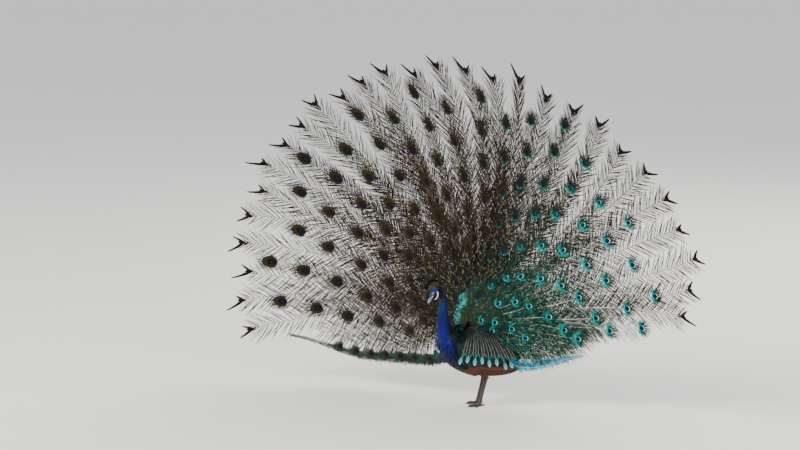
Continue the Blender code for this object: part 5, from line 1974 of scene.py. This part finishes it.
@dataclass
class Tail:
    """The stiff tail behind the train: grey-brown quills in a half circle, and down at their root."""

    stance: Stance
    lean: float = math.radians(13)
    root: Triple = (-0.165, 0.0, 0.405)
    spread: float = math.radians(76)
    quills: int = 18
    reach: float = 0.40
    down: int = 520
    seed: int = 51

    def build(self) -> None:
        """Makes the tail."""
        side, up, forward = leaned(self.lean)
        root = self.stance.at(*self.root)
        core = rounded("tail_root", root - up * 0.004, (side, up, forward), (0.044, 0.030, 0.017), 40, 24)
        brown = VaneFinish("tail_root", rgb(70, 56, 42), rgb(92, 76, 58), rgb(48, 38, 28), 240.0, 0.8)
        dress(core, brown, ["tail"])
        self._fan(root)
        self._fluff(root)

    def _fan(self, root: Array) -> None:
        """Lays the quills."""
        side, up, forward = leaned(self.lean)
        draw = np.random.default_rng(self.seed)
        tufts = Tufts("tail_quills")
        x = np.linspace(0.04, 1, 18)
        profile = np.concatenate([np.linspace(0.12, 0.95, 9), [0.98, 1, 1, 1, 0.98, 0.92, 0.78, 0.5, 0.0]])
        for k in range(self.quills):
            part = k / (self.quills - 1)
            turn = self.spread * (2 * part - 1)
            out = math.sin(turn) * side + math.cos(turn) * up
            reach = self.reach - 0.05 * (2 * part - 1) ** 2
            depth = 0.0016 * (k - (self.quills - 1) / 2)
            path = root + out * (x * reach)[:, None] + forward * (depth + 0.012 * x * x)[:, None]
            patch = (0.06 + 0.88 * part, 0.3)
            shade = draw.random() * 0.6
            tufts.sweep(path, 0.0185 * profile, 0.0005, forward, patch, shade, sides=6, cup=0.06)
            shaft = 0.0014 * (1.05 - 0.9 * x)
            for face in (1, -1):
                ridge = path + face * forward * 0.0006
                tufts.sweep(ridge, shaft, shaft * 0.7, forward, patch, 1.0, sides=5)
        finish = VaneFinish("tail_quills", rgb(104, 84, 62), rgb(70, 54, 40), rgb(132, 112, 88), 520.0, 0.6)
        tufts.build(finish, Slot.TAIL)

    def _fluff(self, root: Array) -> None:
        """Lays soft down over the root, before and behind the quills."""
        side, up, forward = leaned(self.lean)
        draw = np.random.default_rng(self.seed + 1)
        order, share, turn = sunflower(self.down, 0.0)
        face = np.where(order % 2 == 0, 1.0, -1.0)
        across = 0.058 * share * np.sin(turn)
        tall = 0.050 * share * np.cos(turn) + 0.012
        bulge = 0.018 * np.sqrt(np.maximum(0.02, 1 - share**2))
        start = root + side * across[:, None] + up * tall[:, None] + forward * (face * bulge)[:, None]
        flow = unit(side * across[:, None] * 9 + up * 0.55 + forward * (face * 0.22)[:, None])
        length = draw.uniform(0.026, 0.050, self.down)
        drop = -0.10 * length[:, None] * LEAF**2
        path = leaves(start, flow, length[:, None] * LEAF, UP[None], drop)
        width = draw.uniform(0.004, 0.0065, (self.down, 1)) * np.array([0.5, 0.9, 1.0, 0.7, 0.0])
        normal = forward * face[:, None]
        patch = disc_patch(share, turn)
        tufts = Tufts("tail_down")
        tufts.sweep(path, width, 0.0004, normal, patch, draw.random(self.down), sides=4, cup=0.2)
        finish = VaneFinish("tail_down", rgb(92, 80, 64), rgb(140, 126, 104), rgb(70, 60, 48), 200.0, 0.85)
        tufts.build(finish, Slot.TAIL)


@dataclass
class Crest:
    """The crown's fan of bare stalks, each with a blue spatula at its tip."""

    stance: Stance
    count: int = 20
    long: float = 0.056
    spread: Pair = (math.radians(-58), math.radians(32))
    root: Triple = (-0.016, 0.0, 0.0165)
    tip_barbs: int = 15
    seed: int = 61

    def build(self) -> None:
        """Makes the stalks and their tips."""
        draw = np.random.default_rng(self.seed)
        forward, side, top = self.stance.head_axes
        stalks, tips = Tufts("crest_stalks"), Tufts("crest_tips")
        x = np.linspace(0, 1, 9)
        for k in range(self.count):
            part = k / (self.count - 1)
            turn = self.spread[0] + (self.spread[1] - self.spread[0]) * part
            out = unit(top * math.cos(turn) + forward * math.sin(turn) + side * 0.16 * math.sin(k * 2.4))
            across = unit(np.cross(out, side))
            facing = np.cross(across, out)
            uneven = 0.97 - 0.10 * (2 * part - 1) ** 2 + 0.03 * math.sin(k * 4.1)
            length = self.long * self.stance.head_scale * uneven
            foot = self.stance.in_head(*self.root) + forward * (part - 0.45) * 0.013
            bend = 0.06 * length * (0.4 - part) * x**2
            path = foot + out * (length * 0.93 * x)[:, None] - forward * bend[:, None]
            patch = (0.05 + 0.9 * part, 0.2)
            thick = 0.00042 * (1.15 - 0.6 * x)
            stalks.sweep(path, thick, thick, facing, patch, 0.5, sides=5)
            place = np.repeat(np.linspace(0.74, 0.99, self.tip_barbs), 2)
            hand = np.tile([1.0, -1.0], self.tip_barbs)
            root = np.stack([np.interp(place, x, path[:, i]) for i in range(3)], -1)
            many = len(root)
            reach = 0.0105 * (1 - 0.45 * np.abs((place - 0.86) / 0.13)) * draw.uniform(0.85, 1.1, many)
            spread = reach[:, None] * hand[:, None] * (0.62 * BARB - 0.16 * BARB**2)
            along = reach[:, None] * (0.62 * BARB + 0.10 * BARB**2)
            along = np.minimum(along, (length * (1.0 - 0.93 * place))[:, None])
            lift = draw.normal(0, 0.0005, (many, 1)) * BARB
            barbs = root[:, None] + across * spread[..., None] + out * along[..., None]
            barbs = barbs + facing * lift[..., None]
            patches = patch + np.stack([hand * 0.004, 0.6 * (place - 0.7)], -1)
            width = 0.0008 * np.array([1.0, 1.1, 0.9, 0.0])
            tips.sweep(barbs, width, 0.0003, facing, patches, draw.random(many))
        bare = VaneFinish("crest_stalks", rgb(96, 86, 78), rgb(30, 40, 52), rgb(60, 52, 46), 20.0, 0.5)
        blue = rgb(2, 5, 12), rgb(2, 10, 24), rgb(1, 3, 6)
        stalks.build(bare, Slot.CREST, ["crest"])
        tips.build(VaneFinish("crest_tips", *blue, 40.0, rough=0.6, gloss=0.12), Slot.CREST)


@dataclass(frozen=True)
class EyeballFinish(Finish):
    """A dark wet eye: brown iris round a black pupil."""

    stance: Stance
    place: Triple
    name: str = "eyeball"
    iris: Colour = rgb(84, 42, 16)
    ring: Colour = rgb(30, 14, 8)
    pupil: Colour = rgb(3, 3, 4)

    def lay(self, s: Sheet) -> None:
        """Mixes the colours."""
        fore, _, above = s.in_head(self.stance)
        away = ((fore - self.place[0]) ** 2 + (above - self.place[2]) ** 2) ** 0.5
        spokes = s.noise(1400.0, 2.0)
        colour = s.mix(spokes, self.iris, self.ring)
        colour = s.mix(away.above(0.0032, 0.0041), self.ring, colour)
        colour = s.mix(away.above(0.0021, 0.0018), colour, self.pupil)
        s.surface(colour, roughness=0.06, Coat_Weight=1.0, Coat_Roughness=0.03, IOR=1.38)


@dataclass(frozen=True)
class BareFinish(Finish):
    """Bare white skin with fine folds."""

    name: str
    pale: Colour = rgb(226, 222, 214)
    fold: Colour = rgb(168, 158, 152)

    def lay(self, s: Sheet) -> None:
        """Mixes the colours."""
        grain = s.noise(1600.0, 3.0)
        colour = s.mix(grain.above(0.35, 0.65) * 0.5, self.pale, self.fold)
        s.surface(colour, roughness=0.55, bump=grain, depth=0.0002)


@dataclass
class Face:
    """Eyeballs, lids and the bill."""

    stance: Stance
    eye_radius: float = 0.0054
    eye_place: Triple = (0.0085, 0.0136, 0.0040)
    lid_radius: float = 0.0053
    lid_thick: float = 0.0011
    bill_voxel: float = 0.00055

    def build(self) -> None:
        """Makes the parts of the face."""
        st = self.stance
        forward, left, top = st.head_axes
        ball = EyeballFinish(st, self.eye_place).make()
        skin = BareFinish("eyelid", rgb(60, 62, 70), rgb(26, 28, 36)).make()
        for hand, name in SIDES.items():
            middle = st.in_head(self.eye_place[0], hand * self.eye_place[1], self.eye_place[2])
            size = self.eye_radius * st.head_scale
            eye = rounded(f"eyeball_{name}", middle, (forward, top, left * hand), (size,) * 3, 40, 28)
            dress(eye, ball, [f"eye_{name}"])
            self._lids(f"lids_{name}", middle, hand, skin)
        self._bill()

    def _lids(self, name: str, middle: Array, hand: int, skin: Material) -> None:
        """Makes the two lids as one soft almond ring round an eye."""
        forward, left, top = self.stance.head_axes
        scale = self.stance.head_scale
        bpy.ops.object.select_all(action="DESELECT")
        bpy.ops.mesh.primitive_torus_add(
            major_segments=44, minor_segments=12, major_radius=self.lid_radius, minor_radius=self.lid_thick
        )
        lid = bpy.context.active_object
        lid.name = name
        points, _, _ = corner_normals(lid.data)
        along, high, out = points.T
        turn = np.arctan2(high, along)
        high = high * (0.80 - 0.10 * np.cos(2 * turn))
        along = along * (1.02 + 0.06 * np.abs(np.cos(turn)) ** 8)
        out = out * 1.25 + 0.0026 - 0.25 * (along / self.lid_radius) ** 2 * 0.0014
        own = np.stack([along, high, out], -1)
        move_points(lid, middle + scale * own @ np.array([forward, top, left * hand]))
        select_only(lid)
        face_out()
        bpy.ops.object.shade_smooth()
        dress(lid, skin)

    def _bill(self) -> None:
        """Makes the upper and lower bill from their solids, smoothed."""
        finish = HornFinish(self.stance).make()
        for node in ("bill_upper", "bill_lower"):
            bill = copy_of_nodes(f"{node}_horn", [node])
            apply_modifier(bill, "REMESH", mode="VOXEL", voxel_size=self.bill_voxel)
            apply_modifier(bill, "SMOOTH", factor=0.5, iterations=5)
            bpy.ops.object.shade_smooth()
            dress(bill, finish, [node])


@dataclass(frozen=True)
class HornFinish(Finish):
    """Greyish horn of the bill, paler towards the tip, with growth lines."""

    stance: Stance
    name: str = "bill_horn"
    grey: Colour = rgb(96, 84, 84)
    pale: Colour = rgb(156, 140, 134)
    dark: Colour = rgb(44, 36, 38)

    def lay(self, s: Sheet) -> None:
        """Mixes the colours."""
        fore, _, above = s.in_head(self.stance)
        cloud = s.noise(420.0)
        colour = s.mix((fore + (cloud - 0.5) * 0.006).above(0.032, 0.056), self.grey, self.pale)
        colour = s.mix((above + cloud * 0.002).above(0.0035, 0.0070) * 0.6, colour, self.dark)
        growth = (fore * 5200.0 + above * 900.0).sine() * 0.5 + cloud
        s.surface(colour, roughness=0.34, bump=growth, depth=0.00012, Coat_Weight=0.15, Coat_Roughness=0.3)


@dataclass(frozen=True)
class LegFinish(Finish):
    """Grey-brown scaled skin of shanks and toes."""

    name: str = "leg_skin"
    grey: Colour = rgb(52, 37, 32)
    dark: Colour = rgb(22, 15, 13)
    pale: Colour = rgb(86, 67, 58)

    def lay(self, s: Sheet) -> None:
        """Mixes the colours."""
        cloud = s.noise(160.0)
        values = {"Vector": s.place(), "Scale": 420.0}
        cells = s.node("ShaderNodeTexVoronoi", {"feature": "DISTANCE_TO_EDGE"}, values)
        ridge = cells.above(0.0, 0.16)
        colour = s.mix(cloud.above(0.35, 0.65), self.grey, self.pale)
        colour = s.mix((1 - ridge) * 0.8, colour, self.dark)
        s.surface(colour, roughness=0.55, bump=ridge, depth=0.0003)


@dataclass(frozen=True)
class ClawFinish(Finish):
    """Dark horn of claws and spurs."""

    name: str = "claw_horn"
    dark: Colour = rgb(44, 36, 34)
    pale: Colour = rgb(96, 84, 76)

    def lay(self, s: Sheet) -> None:
        """Mixes the colours."""
        _, along = s.vane()
        cloud = s.noise(500.0)
        colour = s.mix(along.above(0.1, 0.9), self.pale, self.dark)
        colour = s.mix(cloud * 0.3, colour, self.dark)
        s.surface(colour, roughness=0.32, bump=cloud, depth=0.0001, Coat_Weight=0.2, Coat_Roughness=0.3)


@dataclass
class Leg:
    """One bare leg: shank, toes, plates down their fronts, claws and the spur."""

    stance: Stance
    hand: int
    step: float = 0.021
    aside: float = 0.040
    hock: Pair = (-0.040, 0.150)
    toes: tuple[Pair, ...] = ((0.0, 0.074), (34.0, 0.058), (-34.0, 0.058), (176.0, 0.032))
    toe_radius: float = 0.0066
    voxel: float = 0.0011
    shank_plates: int = 26
    plate_turns: tuple[float, ...] = (0.0, 0.85, -0.85, 2.3, -2.3, 3.14)
    shank_girth: Curve = ((0.0, 0.1, 0.5, 0.9, 1.0), (0.0128, 0.0104, 0.0088, 0.0096, 0.0108))
    toe_girth: Curve = ((0.0, 0.20, 0.38, 0.58, 0.84), (0.95, 1.0, 0.80, 0.95, 0.70))

    def build(self) -> None:
        """Makes the leg."""
        nodes = [f"shank_{SIDES[self.hand]}", f"foot_{SIDES[self.hand]}"]
        leg = copy_of_nodes(f"leg_{SIDES[self.hand]}", nodes)
        apply_modifier(leg, "DISPLACE", strength=0.0003, mid_level=0.0)
        apply_modifier(leg, "REMESH", mode="VOXEL", voxel_size=self.voxel)
        apply_modifier(leg, "SMOOTH", factor=0.5, iterations=4)
        apply_modifier(leg, "DISPLACE", strength=-0.0005, mid_level=0.0)
        bpy.ops.object.shade_smooth()
        finish = LegFinish().make()
        dress(leg, finish, nodes)
        self._plates(finish)
        self._claws()

    def _place(self, high: float, back: float = 0.0) -> Array:
        """A point over the foot."""
        return self.stance.at(self.hand * self.step + back, self.hand * self.aside, high)

    def _shank(self) -> tuple[Array, Array]:
        """Both ends of the shank: ankle and hock."""
        return self._place(0.012), self._place(self.hock[1], self.hock[0])

    def _out(self, turn: float) -> Array:
        """A level direction at a turn from the heading."""
        return self.stance.heading * math.cos(turn) + self.stance.left * math.sin(turn)

    def _plates(self, finish: Material) -> None:
        """Lays overlapping plates down the shank and along each toe."""
        tufts = Tufts(f"leg_plates_{SIDES[self.hand]}")
        ankle, top = self._shank()
        down = unit(ankle - top)
        for k in range(self.shank_plates):
            share = (k + 0.5) / self.shank_plates
            radius = float(np.interp(share, *self.shank_girth))
            for turn in self.plate_turns:
                out = unit(self._out(turn))
                out = unit(out - down * float(out @ down))
                root = top + (ankle - top) * share + out * (radius * 1.07 - 0.0010)
                rise = np.array([-0.0004, 0.0002, 0.0006, 0.0007, 0.0002])
                half = 0.0052 if abs(turn) < 2 else 0.0046
                patch = (0.5 + turn / 7, 0.98 - 0.6 * share)
                self._plate(tufts, root, down * 0.0072, out, rise, half, patch, 0.28)
        for turn, length in self.toes:
            out, middle = self._out(math.radians(turn)), self._place(0.0)
            count = int(length / 0.0040)
            for k in range(2, count):
                share = k / count * 0.92
                radius = self._toe_radius(length) * float(np.interp(share, *self.toe_girth))
                root = middle + out * length * share + UP * radius * 1.72
                rise = np.array([-0.0004, 0.0001, 0.0004, 0.0003, -0.0002])
                patch = (0.1 + 0.2 * (turn > 90) + (turn + 40) / 500, 0.02 + 0.3 * share)
                self._plate(tufts, root, out * 0.0058, UP, rise, radius * 0.62, patch, 0.30)
        tufts.build(finish, Slot.LEG)

    @staticmethod
    def _plate(
        tufts: Tufts, root: Array, reach: Array, out: Array, rise: Array, half: float,
        patch: Place, cup: float,
    ) -> None:
        """Lays one plate that reaches from its root over the next and rises off the skin."""
        part = np.array([0.0, 0.3, 0.6, 0.88, 1.0])
        path = root + reach * part[:, None] + out * rise[:, None]
        width = half * np.array([0.75, 1.0, 1.0, 0.75, 0.0])
        tufts.sweep(path, width, 0.0004, out, patch, 0.5, sides=6, cup=cup)

    def _toe_radius(self, length: float) -> float:
        """Half the thickness of a toe, less on the short one behind."""
        return self.toe_radius * (1.0 if length > 0.04 else 0.85)

    def _claws(self) -> None:
        """Makes the claws and the spur as curved horns."""
        tufts = Tufts(f"claws_{SIDES[self.hand]}")
        x = np.linspace(0, 1, 10)
        middle = self._place(0.0)
        for turn, length in self.toes:
            out = self._out(math.radians(turn))
            radius = self._toe_radius(length)
            reach = length * (0.82 + 0.29 * x)
            tall = radius * (0.62 + 0.28 * np.sin(math.pi * np.minimum(1.0, 0.15 + x)) - 0.46 * x**2)
            path = middle + out * reach[:, None] + UP * tall[:, None]
            thick = radius * 0.40 * (1 - x) ** 0.6
            patch = (0.5 + turn / 500, 0.3)
            tufts.sweep(path, thick * 0.85, thick, UP, patch, 0.5, sides=10)
        ankle, top = self._shank()
        root = ankle + (top - ankle) * 0.36
        back = -self.stance.heading * 0.9 + UP * 0.25 - self.stance.left * self.hand * 0.35
        path = root + back * (0.001 + 0.0235 * x)[:, None] + UP * (0.0030 * x**2)[:, None]
        thick = 0.0046 * (1 - x) ** 0.7
        tufts.sweep(path, thick, thick, UP, (0.5, 0.8), 0.5, sides=10)
        tufts.build(ClawFinish(), Slot.LEG)


@dataclass(frozen=True)
class FloorFinish(Finish):
    """Pale matt floor with a faint grain."""

    name: str = "floor"
    pale: Colour = rgb(240, 238, 232)
    grain: Colour = rgb(234, 232, 226)

    def lay(self, s: Sheet) -> None:
        """Mixes the colours."""
        s.surface(s.mix(s.noise(3.0), self.pale, self.grain), roughness=0.85, Specular_IOR_Level=0.2)


@dataclass
class Studio:
    """Floor, soft lights, and the camera looking down a little from far off."""

    feet: Triple
    azimuth: float = math.radians(30.4)
    elevation: float = math.radians(11.0)
    distance: float = 16.0
    lens: float = 133.2
    sensor: float = 36.0
    feet_pixel: Pair = (478.5, 404.5)
    floor_size: float = 260.0

    def build(self) -> None:
        """Adds floor, world, lights and camera."""
        bpy.ops.object.select_all(action="DESELECT")
        bpy.ops.mesh.primitive_plane_add(size=self.floor_size, location=(0, 0, 0))
        floor = bpy.context.active_object
        floor.name = "floor"
        floor.data.materials.append(FloorFinish().make())
        world = bpy.data.worlds.new("studio")
        world.use_nodes = True
        back = world.node_tree.nodes["Background"]
        back.inputs["Color"].default_value = (0.93, 0.95, 1.0, 1.0)
        back.inputs["Strength"].default_value = 1.0
        bpy.context.scene.world = world
        self._light("key", (-4.5, -9.0, 8.5), 5.0, 1500.0, (1.0, 0.97, 0.92))
        self._light("fill", (8.5, -5.0, 4.5), 6.0, 620.0, (0.93, 0.96, 1.0))
        self._light("rim", (1.5, 8.0, 6.5), 5.0, 650.0, (1.0, 0.98, 0.95))
        self._camera()

    def _light(self, name: str, place: Triple, size: float, power: float, tint: Colour) -> None:
        """Adds one large soft light that looks at the bird."""
        lamp = bpy.data.lights.new(name, "AREA")
        lamp.size = size
        lamp.energy = power
        lamp.color = tint
        made = placed(name, lamp)
        made.location = place
        made.rotation_euler = (Vector((0.0, 0.0, 0.8)) - Vector(place)).to_track_quat("-Z", "Y").to_euler()

    def _camera(self) -> None:
        """Adds the camera, turned so that the feet come to their place in the picture."""
        focal = self.lens / self.sensor * IMAGE_WIDE
        right_of = self.feet_pixel[0] - IMAGE_WIDE / 2
        below = self.feet_pixel[1] - IMAGE_HIGH / 2
        away = math.hypot(right_of, below, focal)
        phase = math.atan2(below, focal)
        pitch = phase + math.asin(away * -math.sin(self.elevation) / math.hypot(focal, below))
        turn = math.atan2(right_of, focal * math.cos(pitch) + below * math.sin(pitch))
        level = (-math.sin(self.azimuth + turn), math.cos(self.azimuth + turn))
        look = Vector((level[0] * math.cos(pitch), level[1] * math.cos(pitch), math.sin(pitch)))
        flat = math.cos(self.elevation)
        aside, away = math.sin(self.azimuth) * flat, -math.cos(self.azimuth) * flat
        back = Vector((aside, away, math.sin(self.elevation)))
        lens = bpy.data.cameras.new("camera")
        lens.lens = self.lens
        lens.sensor_width = self.sensor
        lens.sensor_fit = "HORIZONTAL"
        lens.clip_end = 600.0
        made = placed("camera", lens)
        made.location = Vector(self.feet) + back * self.distance
        made.rotation_euler = look.to_track_quat("-Z", "Y").to_euler()
        bpy.context.scene.camera = made


def feet_middle() -> Triple:
    """The point between the soles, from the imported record."""
    soles = [mount["pos_m"] for mount in frame["record"]["mounts"] if mount["name"].startswith("sole")]
    return tuple(sum(values) / len(values) for values in zip(*soles))


def main() -> None:
    """Dresses the bird piece by piece."""
    logging.basicConfig(level=logging.INFO, format="%(name)s: %(message)s")
    feet = feet_middle()
    Studio(feet).build()
    stance = Stance(feet)
    bowl = Bowl(stance)
    skin = BodySkin(stance).build()
    BodyCoat(stance, skin).build()
    Face(stance).build()
    Crest(stance).build()
    for hand in SIDES:
        FoldedWing(stance, hand).build()
        Leg(stance, hand).build()
    Tail(stance).build()
    TrainPad(bowl).build()
    FlankPlumes(bowl).build()
    Train(bowl).build()


if __name__ == "__main__":
    main()
